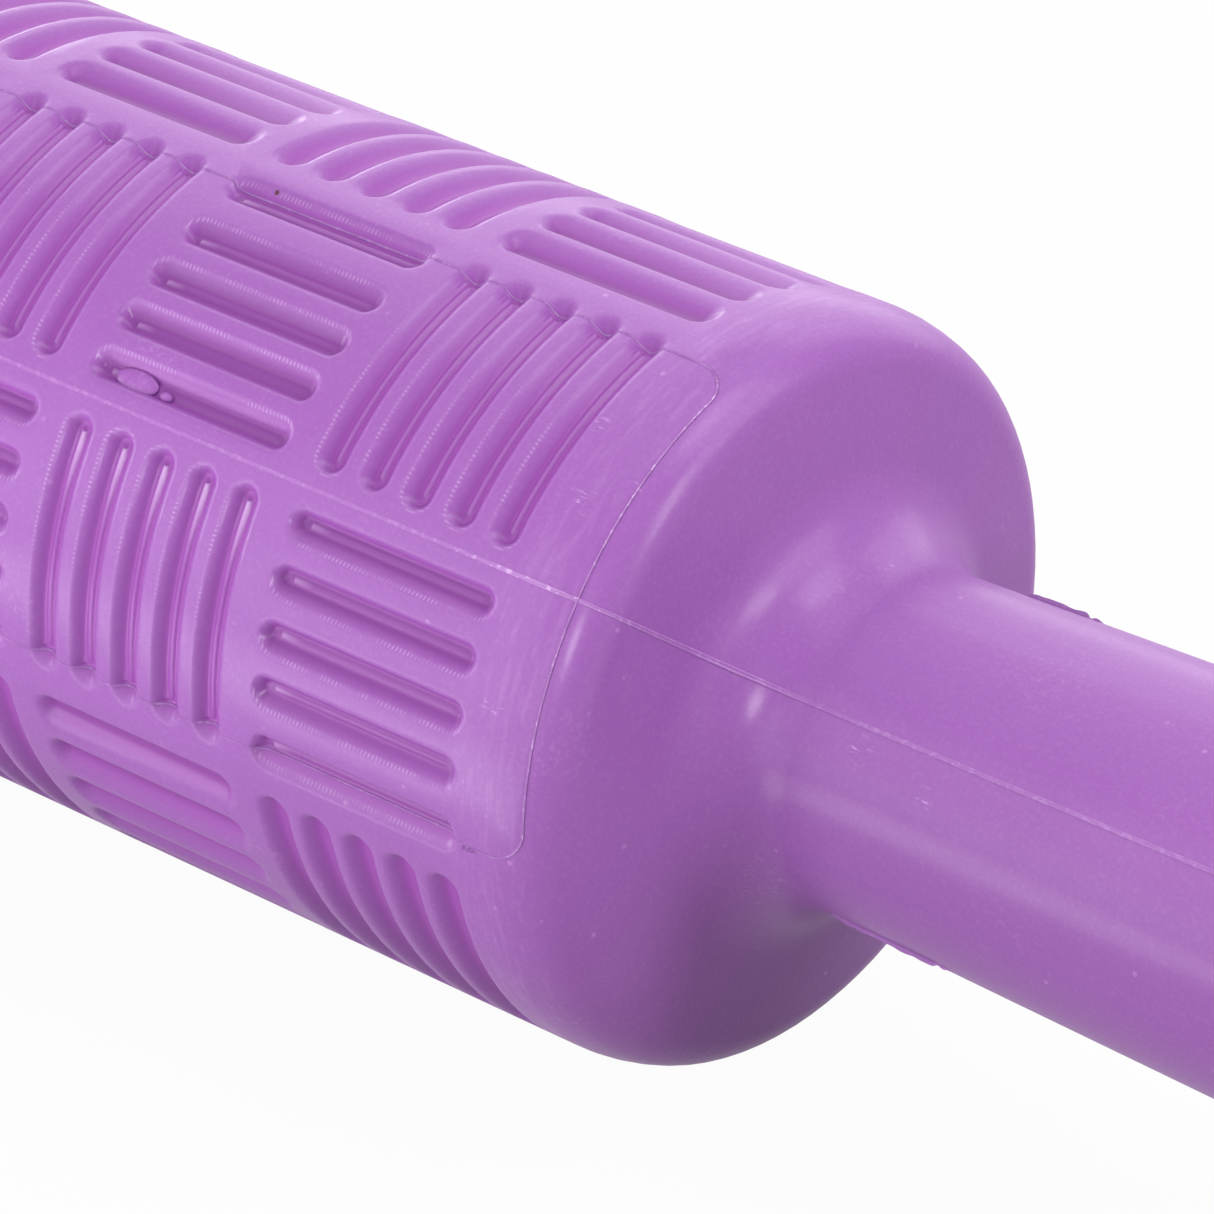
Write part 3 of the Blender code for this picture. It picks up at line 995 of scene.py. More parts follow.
@dataclass
class MouldMarks:
    """Thin raised marks that the mould leaves: seam beads, insert lines and flash.

    Each is a narrow strip that follows the surface, down into the grooves that it crosses.
    """

    outline: Outline
    probe: SheetProbe
    strip_depth: float = 0.05 * MM
    sharp_angle: float = math.radians(50.0)
    fin_points: int = 90
    fin_half_width: float = 0.07 * MM
    fin_height: float = 0.20 * MM
    fin_ripple: float = 0.10 * MM
    fin_rise: float = 1.6 * MM
    fin_fall: float = 0.5 * MM
    fin_notch: float = 1.0 * MM
    fin_notch_width: float = 0.22 * MM
    bead_gap: float = 0.3 * MM
    bead_points: int = 800
    insert_turn: float = math.radians(40.1)
    insert_end: float = 51.65 * MM
    insert_corner: float = 2.2 * MM
    insert_spacing: float = 0.16 * MM
    insert_half_width: float = 0.09 * MM
    fins: tuple[tuple[str, float, float, float, float], ...] = (
        ("top", 86.0, 64.5, 71.3, 1.5),
        ("under", -82.0, 62.0, 71.6, 3.5),
    )
    section: tuple[tuple[float, float], ...] = (
        (-1.0, 0.0),
        (-0.78, 0.65),
        (-0.52, 1.0),
        (-0.24, 0.55),
        (0.0, 0.40),
        (0.24, 0.55),
        (0.52, 1.0),
        (0.78, 0.65),
        (1.0, 0.0),
    )

    def strip(
        self,
        name: str,
        path: np.ndarray,
        half_width: np.ndarray,
        height: np.ndarray,
        outer_side: int = 0,
        worn: np.ndarray | float = 0.1,
    ) -> bpy.types.Object:
        """Lays one raised strip along a path on the surface.

        Args:
            name: the strip's name.
            path: one row per point, the run along the profile and the turn from the seam.
            half_width: half width at each point.
            height: height at each point.
            outer_side: which side is shaded as a dark edge, 0 for neither.
            worn: how much of its crest is whitened at each point, from 0 to 1.

        Returns:
            The strip, closed underneath.
        """
        shares = np.array(self.section + ((1.0, 0.0), (-1.0, 0.0), self.section[0]))
        sunk = np.array([0.0] * len(self.section) + [1.0, 1.0, 0.0]) * self.strip_depth
        count, lines = len(path), len(shares)
        bpy.ops.object.select_all(action="DESELECT")
        bpy.ops.mesh.primitive_grid_add(x_subdivisions=count - 1, y_subdivisions=lines - 1, size=1)
        item = bpy.context.active_object
        item.name = name
        item.data.name = name
        grid = points_of(item) + 0.5
        step = np.round(grid[:, 0] * (count - 1)).astype(int)
        line = np.round(grid[:, 1] * (lines - 1)).astype(int)
        radius = self.outline.at(path[:, 0])[1]
        tangent = np.gradient(path, axis=0) * np.stack([np.ones(count), radius], axis=1)
        tangent /= np.linalg.norm(tangent, axis=1)[:, None]
        sideways = shares[line, 0] * half_width[step]
        run = path[step, 0] - tangent[step, 1] * sideways
        turn = path[step, 1] + tangent[step, 0] * sideways / radius[step]
        low = self.probe.heights(self.outline.at(run)[0], turn)
        move_points(
            item, self.outline.wrap(run, turn, low + shares[line, 1] * height[step] - sunk[line])
        )
        keep_value(item, "outer", np.clip(outer_side * shares[line, 0], 0.0, 1.0))
        keep_value(item, "worn", (np.zeros(count) + worn)[step])
        with editing(item):
            bpy.ops.mesh.select_all(action="SELECT")
            bpy.ops.mesh.remove_doubles(threshold=STRIP_WELD)
            bpy.ops.mesh.fill_holes(sides=0)
            bpy.ops.mesh.select_all(action="SELECT")
            bpy.ops.mesh.normals_make_consistent(inside=False)
        take(item)
        bpy.ops.object.shade_smooth_by_angle(angle=self.sharp_angle)
        return item

    def ripple(self, run: np.ndarray, pitch: float, seed: float) -> np.ndarray:
        """Uneven share from 0 to 1 along a strip.

        Args:
            run: lengths along the strip.
            pitch: size of the lumps.
            seed: picks the pattern.

        Returns:
            One share per length.
        """
        values = [noise.noise(Vector((value / pitch, seed, 0.0))) for value in run]
        return np.clip(0.5 + np.array(values), 0.0, 1.0)

    def seam_bead(self, name: str, turn: float, seed: float) -> bpy.types.Object:
        """The bead where the mould halves meet, from one handle's end to the other's."""
        reach = self.outline.run[-1] - self.bead_gap
        run = np.linspace(-reach, reach, self.bead_points)
        edge = self.outline.run_at(SIZES.half_barrel)
        along = np.abs(run)
        drum = ramp(edge + 1.0 * MM - along, 2.0 * MM)
        handle = ramp(along - edge - 5.0 * MM, 2.0 * MM)
        uneven = self.ripple(run, 0.5 * MM, seed) * 0.5 + self.ripple(run, 2.2 * MM, seed + 7) * 0.5
        shoulder = swell(along - edge, 1.0 * MM, 3.5 * MM)
        fillet = swell(along - edge, 15.0 * MM, 4.0 * MM)
        height = 0.035 * MM + 0.02 * MM * handle - 0.018 * MM * drum * (1.0 - 0.5 * uneven)
        height += 0.07 * MM * shoulder * uneven + 0.02 * MM * fillet
        half_width = 0.13 * MM + 0.04 * MM * handle + 0.06 * MM * shoulder * uneven
        half_width += 0.04 * MM * fillet
        fade = ramp(reach - along, 2.0 * MM)
        path = np.stack([run, np.full(len(run), turn)], axis=1)
        on_shoulder = swell(along - edge, -0.5 * MM, 5.0 * MM)
        return self.strip(name, path, half_width, height * fade, worn=0.12 + 0.6 * on_shoulder)

    def insert_line(self, name: str, seam: float, side: int, seed: float) -> bpy.types.Object:
        """Outline of a mould insert beside a seam: up one end, along the weave and down the other.

        Args:
            name: the strip's name.
            seam: angle of the seam that it starts from.
            side: 1 above the seam, -1 below it.
            seed: picks its unevenness.

        Returns:
            The strip.
        """
        reach, corner, spacing = self.insert_turn, self.insert_corner, self.insert_spacing
        end = self.outline.run_at(self.insert_end)
        radius = SIZES.drum_radius
        up = np.arange(0.0, reach - corner / radius, spacing / radius)
        quarter = np.linspace(0.0, math.pi / 2, 16)
        bend_run = end - corner + corner * np.cos(quarter)
        bend_turn = reach - corner / radius + corner / radius * np.sin(quarter)
        across = np.arange(end - corner - spacing, 0.0, -spacing)
        run = np.concatenate([np.full(len(up), end), bend_run, across])
        turn = np.concatenate([up, bend_turn, np.full(len(across), reach)])
        run = np.concatenate([run, -run[::-1]])
        turn = np.concatenate([turn, turn[::-1]])
        uneven = self.ripple(run + turn * radius, 1.5 * MM, seed)
        height = 0.045 * MM + 0.03 * MM * uneven
        path = np.stack([run, seam + side * turn], axis=1)
        worn = np.where(np.abs(run) > end - 0.5 * corner, 0.7, 0.15)
        half_width = np.full(len(run), self.insert_half_width)
        return self.strip(name, path, half_width, height, -side, worn)

    def fin(
        self, name: str, turn: float, start: float, end: float, seed: float
    ) -> bpy.types.Object:
        """A short flash fin along the root of a handle.

        Args:
            name: the fin's name.
            turn: its angle from the seam.
            start: where it starts along the roller.
            end: where it ends.
            seed: picks its unevenness.

        Returns:
            The fin.
        """
        places = np.linspace(start, end, self.fin_points)
        run = np.sign(places) * np.array([self.outline.run_at(abs(x)) for x in places])
        from_start, from_end = np.abs(places - start), np.abs(end - places)
        rise = ramp(from_start, self.fin_rise)
        fall = ramp(from_end, self.fin_fall)
        notch = 1.0 - 0.8 * swell(from_end, self.fin_notch, self.fin_notch_width)
        tooth = 1.0 - 0.35 * (from_end < self.fin_notch)
        uneven = self.ripple(run, 0.8 * MM, seed)
        height = (self.fin_height + self.fin_ripple * uneven) * rise * fall * notch * tooth
        path = np.stack([run, np.full(len(run), turn)], axis=1)
        return self.strip(name, path, np.full(len(run), self.fin_half_width), height)

    def build(self) -> list[bpy.types.Object]:
        """Lays every mark.

        Returns:
            The strips.
        """
        marks = []
        for place, seam in (("front", 0.0), ("back", math.pi)):
            marks.append(self.seam_bead(f"seam_bead_{place}", seam, seam))
            marks.append(self.insert_line(f"insert_line_{place}_upper", seam, 1, seam + 2))
            marks.append(self.insert_line(f"insert_line_{place}_lower", seam, -1, seam + 4))
        for end, side in (("right", 1), ("left", -1)):
            for place, degrees, start, stop, seed in self.fins:
                name = f"flash_fin_{end}_{place}"
                turn = math.radians(degrees)
                marks.append(self.fin(name, turn, side * start * MM, side * stop * MM, seed))
        marks.append(self.flake())
        marks.append(self.blister("blister_large", 14.35, 1.95, (1.75, 0.80, 0.36)))
        marks.append(self.blister("blister_small", 16.95, 1.75, (0.48, 0.34, 0.30)))
        return marks

    def flake(self) -> bpy.types.Object:
        """The ragged bit of flash at the corner of the lower front insert."""
        run = np.linspace(47.2 * MM, 48.3 * MM, 30)
        uneven = self.ripple(run, 0.22 * MM, 9.0)
        ends = ramp(np.minimum(run - run[0], run[-1] - run), 0.15 * MM)
        path = np.stack([run, np.full(len(run), -17.6 * MM / SIZES.drum_radius)], axis=1)
        half_width = 0.08 * MM + 0.08 * MM * uneven
        return self.strip("flash_flake", path, half_width, (0.08 * MM + 0.18 * MM * uneven) * ends)

    def blister(
        self, name: str, x: float, along_arc: float, half_sizes: tuple[float, float, float]
    ) -> bpy.types.Object:
        """A moulding blister that stands in a groove as a flat dome.

        Args:
            name: the blister's name.
            x: its place along the roller, in millimetres.
            along_arc: arc length from the seam, in millimetres.
            half_sizes: half length, half width and height, in millimetres.

        Returns:
            The dome.
        """
        turn = along_arc * MM / SIZES.drum_radius
        sunk = 0.62 * MM
        place = (SIZES.drum_radius - sunk) * SIZES.spoke(turn) + Vector((x * MM, 0, 0))
        tilt = math.pi / 2 - SIZES.seam_angle - turn
        bpy.ops.object.select_all(action="DESELECT")
        bpy.ops.mesh.primitive_uv_sphere_add(
            segments=36,
            ring_count=18,
            radius=MM,
            location=place,
            rotation=(tilt, 0, 0),
            scale=half_sizes,
        )
        item = bpy.context.active_object
        item.name = name
        item.data.name = name
        settle(item)
        item.data.shade_smooth()
        return item


@dataclass
class EndPlug:
    """Push-in plug that closes a handle: flange, stem, snap ring and hollow nose."""

    sizes: RollerSizes
    clearance: float = 0.3 * MM
    flange_proud: float = 0.8 * MM
    flange_round: float = 0.5 * MM
    dish_radius: float = 5.2 * MM
    dish_depth: float = 0.35 * MM
    gate_radius: float = 0.7 * MM
    snap_overlap: float = 0.4 * MM
    snap_length: float = 1.0 * MM
    nose_length: float = 3.0 * MM
    nose_taper: float = 0.6 * MM
    wall: float = 1.3 * MM
    sharp_angle: float = math.radians(35.0)
    round_steps: int = 6
    steps: int = 72

    def half_section(self) -> Profile:
        """Half section as (height over the handle's end, radius), from the middle of the flange."""
        s = self.sizes
        flange_radius = s.recess_radius - self.clearance
        stem = s.bore_radius - self.clearance
        under = self.clearance - s.recess_depth
        top, dish = self.flange_proud, self.flange_proud - self.dish_depth
        gate = [(dish + 0.2 * MM, 0.0), (dish + 0.2 * MM, self.gate_radius - 0.15 * MM)]
        gate += [(dish + 0.12 * MM, self.gate_radius), (dish, self.gate_radius + 0.1 * MM)]
        rim = [(dish, self.dish_radius - 0.5 * MM), (dish + 0.08 * MM, self.dish_radius - 0.2 * MM)]
        rim += [(top - 0.06 * MM, self.dish_radius + 0.1 * MM), (top, self.dish_radius + 0.35 * MM)]
        edge = [
            (
                top - self.flange_round * (1 - math.cos(angle)),
                flange_radius - self.flange_round * (1 - math.sin(angle)),
            )
            for angle in quarter_turn(self.round_steps)
        ]
        snap_start = -s.recess_depth - s.end_wall - self.clearance
        snap_end = snap_start - self.snap_length
        nose = snap_end - self.nose_length
        body = [
            (under, flange_radius),
            (under, stem),
            (snap_start, stem),
            (snap_start, s.bore_radius + self.snap_overlap),
            (snap_end, s.bore_radius + self.snap_overlap),
            (nose + 0.3 * MM, stem - self.nose_taper),
            (nose, stem - self.nose_taper - 0.3 * MM),
            (nose, stem - self.wall),
            (under - self.wall, stem - self.wall),
            (under - self.wall, 0.0),
        ]
        return gate + rim + edge + body

    def build(self, name: str, side: int) -> bpy.types.Object:
        """Turns one plug in place.

        Args:
            name: the plug's name.
            side: 1 for the right-hand end, -1 for the left.

        Returns:
            The plug.
        """
        profile = [
            (side * (self.sizes.half_length + height), radius)
            for height, radius in self.half_section()
        ]
        plug = spin_profile(name, profile, self.steps)
        take(plug)
        bpy.ops.object.shade_smooth_by_angle(angle=self.sharp_angle)
        return plug


# Shader maths


class Wire:
    """An output of a node. Python's operators on it add the Math nodes."""

    def __init__(self, bench: "NodeBench", socket: bpy.types.NodeSocket) -> None:
        """Keeps the socket and the bench that adds its nodes."""
        self.bench = bench
        self.socket = socket

    def _maths(self, operation: str, *values: "Wire | float") -> "Wire":
        return self.bench.node("ShaderNodeMath", {"operation": operation}, dict(enumerate(values)))

    def __add__(self, other: "Wire | float") -> "Wire":
        """Sum."""
        return self._maths("ADD", self, other)

    __radd__ = __add__

    def __sub__(self, other: "Wire | float") -> "Wire":
        """Difference."""
        return self._maths("SUBTRACT", self, other)

    def __rsub__(self, other: float) -> "Wire":
        """Difference, this one taken away."""
        return self._maths("SUBTRACT", other, self)

    def __mul__(self, other: "Wire | float") -> "Wire":
        """Product."""
        return self._maths("MULTIPLY", self, other)

    __rmul__ = __mul__

    def sine(self) -> "Wire":
        """Sine."""
        return self._maths("SINE", self)

    def window(self, low: float, high: float) -> "Wire":
        """Share from 0 at low to 1 at high, with soft ends. High may be below low."""
        start, end = (low, high) if low < high else (high, low)
        rising = self.bench.node(
            "ShaderNodeMapRange",
            {"interpolation_type": "SMOOTHSTEP"},
            {"Value": self, "From Min": start, "From Max": end},
        )
        return rising if low < high else 1.0 - rising


class NodeBench:
    """Adds nodes to one tree."""

    def __init__(self, tree: bpy.types.NodeTree) -> None:
        """Keeps the tree."""
        self.tree = tree

    def node(
        self,
        kind: str,
        settings: dict[str, object] | None = None,
        inputs: dict[str | int, object] | None = None,
        output: str | int = 0,
    ) -> Wire:
        """Adds a node.

        Args:
            kind: the node's type.
            settings: its settings, set first.
            inputs: values or wires for its sockets, by name or place.
            output: the output that is wanted.

        Returns:
            That output.
        """
        item = self.tree.nodes.new(kind)
        for key, value in (settings or {}).items():
            setattr(item, key, value)
        for key, value in (inputs or {}).items():
            self.feed(item.inputs[key], value)
        return Wire(self, item.outputs[output])

    def feed(self, socket: bpy.types.NodeSocket, value: object) -> None:
        """Links a wire to a socket, or sets a plain value on it."""
        if isinstance(value, Wire):
            self.tree.links.new(value.socket, socket)
        else:
            socket.default_value = value

    def seen_white(self, whiteness: float) -> Wire:
        """Share of white for the rays that see the background: camera, glossy and transmission."""
        camera, glossy, through = (
            self.node("ShaderNodeLightPath", output=name)
            for name in ("Is Camera Ray", "Is Glossy Ray", "Is Transmission Ray")
        )
        return (1.0 - (1.0 - camera) * (1.0 - glossy) * (1.0 - through)) * whiteness


class ShaderBench(NodeBench):
    """Adds the nodes of one material."""

    def __init__(self, name: str) -> None:
        """Starts a material with its Principled shader."""
        self.material = bpy.data.materials.new(name)
        self.material.use_nodes = True
        super().__init__(self.material.node_tree)
        self.shader = self.tree.nodes["Principled BSDF"]

    def place(self) -> Wire:
        """Object coordinates."""
        return self.node("ShaderNodeTexCoord", output="Object")

    def brushed(self, along: float, around: float, seam: float) -> Wire:
        """Streaks from 0 to 1, with their pitch along the roller and round it beside a seam."""
        where = self.node(
            "ShaderNodeMapping",
            {"vector_type": "TEXTURE"},
            {
                "Vector": self.place(),
                "Scale": (along, around, around),
                "Rotation": (math.pi / 2 - seam, 0.0, 0.0),
            },
        )
        return self.node("ShaderNodeTexNoise", {}, {"Vector": where, "Scale": 1.0, "Detail": 3.0})

    def near(self, spot: Vector, radius: float) -> Wire:
        """Share that falls from 1 at a spot to 0 at a radius round it."""
        far = self.node(
            "ShaderNodeVectorMath",
            {"operation": "DISTANCE"},
            {0: self.place(), 1: tuple(spot)},
            output="Value",
        )
        return far.window(radius, 0.0)

    def along(self) -> Wire:
        """Place along the roller."""
        return self.node("ShaderNodeSeparateXYZ", {}, {0: self.place()}, "X")

    def cloud(self, pitch: float, detail: float = 2.0, where: Wire | None = None) -> Wire:
        """Soft noise from 0 to 1, with lumps of the given size."""
        return self.node(
            "ShaderNodeTexNoise",
            {},
            {"Vector": where or self.place(), "Scale": 1.0 / pitch, "Detail": detail},
        )

    def kept(self, name: str) -> Wire:
        """A number that the mesh keeps per vertex."""
        return self.node("ShaderNodeAttribute", {"attribute_name": name}, output="Fac")

    def blend(self, share: Wire | float, base: object, top: object) -> Wire:
        """Mixes two colours.

        Args:
            share: 0 for the base, 1 for the top.
            base: a colour or a wire of one.
            top: the same.

        Returns:
            The mixed colour.
        """
        return self.node(
            "ShaderNodeMix",
            {"data_type": "RGBA", "clamp_factor": True},
            {0: share, 6: base, 7: top},
            output=2,
        )


@dataclass(frozen=True)
class SatinPlastic:
    """Soft purple plastic: a satin skin with faint mottling, grain, scuffs and dust, and for the
    weave and the insert lines some painted shade and painted highlights.
    """

    name: str
    colour: tuple[float, float, float, float] = (0.204, 0.070, 0.266, 1.0)
    pale: tuple[float, float, float, float] = (0.36, 0.20, 0.42, 1.0)
    deep: tuple[float, float, float, float] = (0.178, 0.056, 0.238, 1.0)
    # Whitish scratches and flash flecks, and the painted highlights of the weave.
    whitish_and_highlight: tuple[float, float, float, float] = (0.50, 0.34, 0.56, 1.0)
    # Painted shade for the outer edge of the insert lines.
    shade: tuple[float, float, float, float] = (0.14, 0.045, 0.19, 1.0)
    # Painted shade deep in the grooves.
    floor: tuple[float, float, float, float] = (0.204, 0.046, 0.254, 1.0)
    # Painted shade along the floors of grooves that run along the drum.
    gloom: tuple[float, float, float, float] = (0.12, 0.026, 0.155, 1.0)
    dirt: tuple[float, float, float, float] = (0.06, 0.018, 0.022, 1.0)
    roughness: float = 0.55
    level: float = 0.07
    coat: float = 0.26
    coat_roughness: float = 0.24
    # Milling ridges and wear, with the painted shade and painted highlights of the grooves.
    machined_and_painted_light: bool = False
    # Flash flecks and whitening, with a painted shade on the outer edge of the insert lines.
    flecks_and_edge_shade: bool = False
    scuffs: tuple[tuple[float, float, float, float], ...] = (
        (48.8, 25.0, 12.8, 1.5),
        (51.7, 24.8, 18.0, 0.9),
        (46.7, 25.0, 24.5, 1.0),
        (48.6, 25.0, -17.5, 1.3),
        (65.5, 11.3, -7.3, 1.3),
        (71.0, 11.5, -12.8, 1.0),
        (55.6, 19.5, -8.0, 0.8),
    )
    speck: tuple[float, float, float, float] = (13.85, 24.6, 41.8, 0.42)

    def make(self) -> bpy.types.Material:
        """Builds the material.

        Returns:
            The material, ready for a piece.
        """
        bench = ShaderBench(self.name)
        mottle = bench.cloud(6.0 * MM, 3.0)
        grain = bench.cloud(0.22 * MM, 2.0)
        patches = bench.cloud(9.0 * MM, 4.0).window(0.58, 0.74)
        scuff = patches * bench.cloud(0.35 * MM, 3.0).window(0.5, 0.7)
        dust = bench.node(
            "ShaderNodeTexVoronoi", {"feature": "F1"}, {"Vector": bench.place(), "Scale": 400.0}
        ).window(0.10, 0.04)
        sparse = bench.cloud(14.0 * MM, 2.0).window(0.5, 0.6)
        body = bench.blend((mottle - 0.5) * 0.5 + 0.12, self.colour, self.deep)
        body = bench.blend(scuff * 0.25, body, self.pale)
        body = bench.blend(dust * sparse * 0.4, body, self.pale)
        body = bench.blend(bench.cloud(0.3 * MM, 3.0).window(0.45, 0.75) * 0.10, body, self.pale)
        height = grain * 0.010 + mottle * 0.05
        if self.flecks_and_edge_shade:
            fleck = bench.cloud(0.45 * MM, 2.0).window(0.52, 0.66) * bench.kept("worn")
            body = bench.blend(fleck, body, self.whitish_and_highlight)
            body = bench.blend(bench.kept("worn") * 0.5, body, self.pale)
            # Painted shade: a dark edge on the outer side of each insert line.
            body = bench.blend(bench.kept("outer").window(0.3, 0.7) * 0.9, body, self.shade)
        if self.machined_and_painted_light:
            uneven = bench.cloud(1.6 * MM, 1.0).window(0.35, 0.62)
            ridges = (bench.kept("along") * (math.tau / (0.31 * MM))).sine() * bench.kept("lip")
            height = height + ridges * uneven * 0.014
            # Painted shade: darker and deeper in colour with depth in the grooves, and darker still
            # along the floors of grooves that run along the drum.
            body = bench.blend(bench.kept("sunk"), body, self.floor)
            body = bench.blend(bench.kept("dim") * bench.kept("sunk") * 0.55, body, self.gloom)
            # Painted highlights: glints on the milling ridges, a paler band on the lips and a
            # bright line along the floor ridges.
            body = bench.blend(ridges.window(0.1, 0.8) * uneven * 0.35, body, self.whitish_and_highlight)
            body = bench.blend(bench.kept("lip") * 0.16, body, self.pale)
            body = bench.blend(bench.kept("floor_highlight") * 0.75, body, self.whitish_and_highlight)
            body = self.wear(bench, body)
        bench.feed(bench.shader.inputs["Base Color"], body)
        bench.feed(
            bench.shader.inputs["Roughness"], (grain - 0.5) * 0.12 + scuff * 0.12 + self.roughness
        )
        bench.shader.inputs["Specular IOR Level"].default_value = self.level
        bench.shader.inputs["Coat Weight"].default_value = self.coat
        bench.shader.inputs["Coat Roughness"].default_value = self.coat_roughness
        bump = bench.node(
            "ShaderNodeBump", {}, {"Height": height, "Strength": 1.0, "Distance": 1.0 * MM}
        )
        bench.feed(bench.shader.inputs["Normal"], bump)
        return bench.material

    def wear(self, bench: ShaderBench, body: Wire) -> Wire:
        """Adds what years of use left on the moulding: rubbed drum ends, scuffs and a dirt speck.

        Args:
            bench: the material's bench.
            body: the plastic's colour.

        Returns:
            The colour with the wear on it.
        """
        streaks = bench.brushed(0.45 * MM, 2.6 * MM, SIZES.seam_angle).window(0.46, 0.70)
        where = bench.along()
        rubbed = where.window(45.6 * MM, 48.0 * MM) * where.window(52.0 * MM, 51.2 * MM)
        body = bench.blend(streaks * rubbed * 0.12, body, self.pale)
        scratches = bench.brushed(0.9 * MM, 0.22 * MM, SIZES.seam_angle).window(0.56, 0.66)
        for x, radius, turn, size in self.scuffs:
            spot = radius * MM * SIZES.spoke(math.radians(turn)) + Vector((x * MM, 0, 0))
            body = bench.blend(bench.near(spot, size * MM) * scratches * 0.45, body, self.whitish_and_highlight)
        x, radius, turn, size = self.speck
        spot = radius * MM * SIZES.spoke(math.radians(turn)) + Vector((x * MM, 0, 0))
        return bench.blend(bench.near(spot, size * MM).window(0.2, 0.6), body, self.dirt)


# Camera, floor and light


@dataclass(frozen=True)
class SoftBox:
    """A rectangular soft lamp: direction in degrees, size in metres and power in watts.

    The azimuth counts from -Y towards +X. A lamp that isn't mirrored only lights the plastic and
    leaves no highlight on it.
    """

    name: str
    azimuth: float
    elevation: float
    width: float
    height: float
    power: float
    mirrored: bool = True


@dataclass(frozen=True)
class Studio:
    """Camera, white floor and soft lamps."""

    azimuth: float = math.radians(41.5175)
    elevation: float = math.radians(30.518)
    roll: float = math.radians(-1.424)
    distance: float = 462.01 * MM
    target: tuple[float, float, float] = (37.1825 * MM, 0.033 * MM, 1.0045 * MM)
    focal: float = 7337.7
    picture: float = 1214.0
    floor_size: float = 8.0
    floor_colour: tuple[float, float, float, float] = (0.40, 0.40, 0.40, 1.0)
    floor_roughness: float = 0.9
    floor_level: float = 0.1
    surround: tuple[float, float, float, float] = (0.93, 0.95, 1.0, 1.0)
    surround_strength: float = 0.02
    whiteness: float = 0.96
    lamp_distance: float = 0.9
    lamps: tuple[SoftBox, ...] = (
        SoftBox("glint_front", 31.0, 25.0, 0.14, 0.18, 3.3),
        SoftBox("glint_right", 95.0, 25.0, 0.15, 0.30, 2.7),
        SoftBox("glint_low", 2.0, 23.0, 0.20, 0.25, 0.8),
        SoftBox("glint_high", 109.0, 67.0, 0.20, 0.25, 0.5),
        SoftBox("glint_left", -66.0, 5.0, 0.12, 0.12, 1.0),
        SoftBox("top_box", 0.0, 89.0, 0.45, 0.45, 1.6),
        SoftBox("box_0", 0.0, 8.0, 0.45, 0.30, 1.3),
        SoftBox("box_90", 90.0, 8.0, 0.45, 0.30, 0.3),
        SoftBox("box_120", 120.0, 33.0, 0.42, 0.42, 2.8),
        SoftBox("box_180_low", 180.0, 8.0, 0.45, 0.30, 1.1),
        SoftBox("box_180", 180.0, 33.0, 0.42, 0.42, 1.5),
        SoftBox("box_210_low", 210.0, 8.0, 0.45, 0.30, 1.1),
        SoftBox("box_210", 210.0, 33.0, 0.42, 0.42, 1.4),
        SoftBox("box_240_low", 240.0, 8.0, 0.45, 0.30, 2.7),
        SoftBox("box_240", 240.0, 33.0, 0.42, 0.42, 1.8),
        SoftBox("box_270_low", 270.0, 8.0, 0.45, 0.30, 5.1, mirrored=False),
        SoftBox("box_300_low", 300.0, 8.0, 0.45, 0.30, 1.0),
        SoftBox("box_330_low", 330.0, 8.0, 0.45, 0.30, 1.5),
        SoftBox("box_330", 330.0, 33.0, 0.42, 0.42, 1.8),
        SoftBox("box_120_high", 120.0, 62.0, 0.45, 0.42, 4.3),
        SoftBox("box_180_high", 180.0, 62.0, 0.45, 0.42, 0.5),
        SoftBox("box_240_high", 240.0, 62.0, 0.45, 0.42, 1.0),
        SoftBox("box_300_high", 300.0, 62.0, 0.45, 0.42, 0.8),
    )
    cards: tuple[tuple[float, float, float, float], ...] = (
        (0.40, 0.0, 0.34, 0.5),
        (-0.03, -0.15, 0.15, 0.5),
    )

    def view_axes(self, azimuth: float, elevation: float, roll: float = 0.0) -> Matrix:
        """Turns the camera's own axes to look from a direction.

        Args:
            azimuth: from -Y towards +X.
            elevation: above the floor.
            roll: turn round the view's own axis.

        Returns:
            A rotation as a 4 by 4 matrix.
        """
        level = Matrix.Rotation(azimuth, 4, "Z") @ Matrix.Rotation(math.pi / 2 - elevation, 4, "X")
        return level @ Matrix.Rotation(roll, 4, "Z")

    def set_camera(self) -> None:
        """Adds the camera at the photograph's place."""
        data = bpy.data.cameras.new("camera")
        camera = bpy.data.objects.new("camera", data)
        bpy.context.scene.collection.objects.link(camera)
        data.sensor_width = 36.0
        data.lens = self.focal * data.sensor_width / self.picture
        data.clip_start = 10.0 * MM
        data.clip_end = 100.0
        turn = self.view_axes(self.azimuth, self.elevation, self.roll)
        back = turn @ Vector((0, 0, 1))
        camera.matrix_world = Matrix.Translation(Vector(self.target) + back * self.distance) @ turn
        bpy.context.scene.camera = camera

    def hang(self, lamp: SoftBox) -> None:
        """Adds a soft lamp that faces the roller."""
        data = bpy.data.lights.new(lamp.name, "AREA")
        data.shape = "RECTANGLE"
        data.size = lamp.width
        data.size_y = lamp.height
        data.energy = lamp.power
        item = bpy.data.objects.new(lamp.name, data)
        item.visible_camera = False
        item.visible_glossy = lamp.mirrored
        bpy.context.scene.collection.objects.link(item)
        turn = self.view_axes(math.radians(lamp.azimuth), math.radians(lamp.elevation))
        back = turn @ Vector((0, 0, 1))
        place = Vector(self.target) + back * self.lamp_distance
        item.matrix_world = Matrix.Translation(place) @ turn

    def lay_card(self, x: float, y: float, size: float, power: float) -> None:
        """Adds a soft lamp that lies on the floor and shines up, like a pale card there.

        Args:
            x: its place along the roller.
            y: its place across it.
            size: its side.
            power: its power.
        """
        data = bpy.data.lights.new("floor_card", "AREA")
        data.size = size
        data.energy = power
        item = bpy.data.objects.new("floor_card", data)
        item.visible_camera = False
        bpy.context.scene.collection.objects.link(item)
        place = Vector((x, y, 0.5 * MM - SIZES.drum_radius))
        item.matrix_world = Matrix.Translation(place) @ Matrix.Rotation(math.pi, 4, "X")

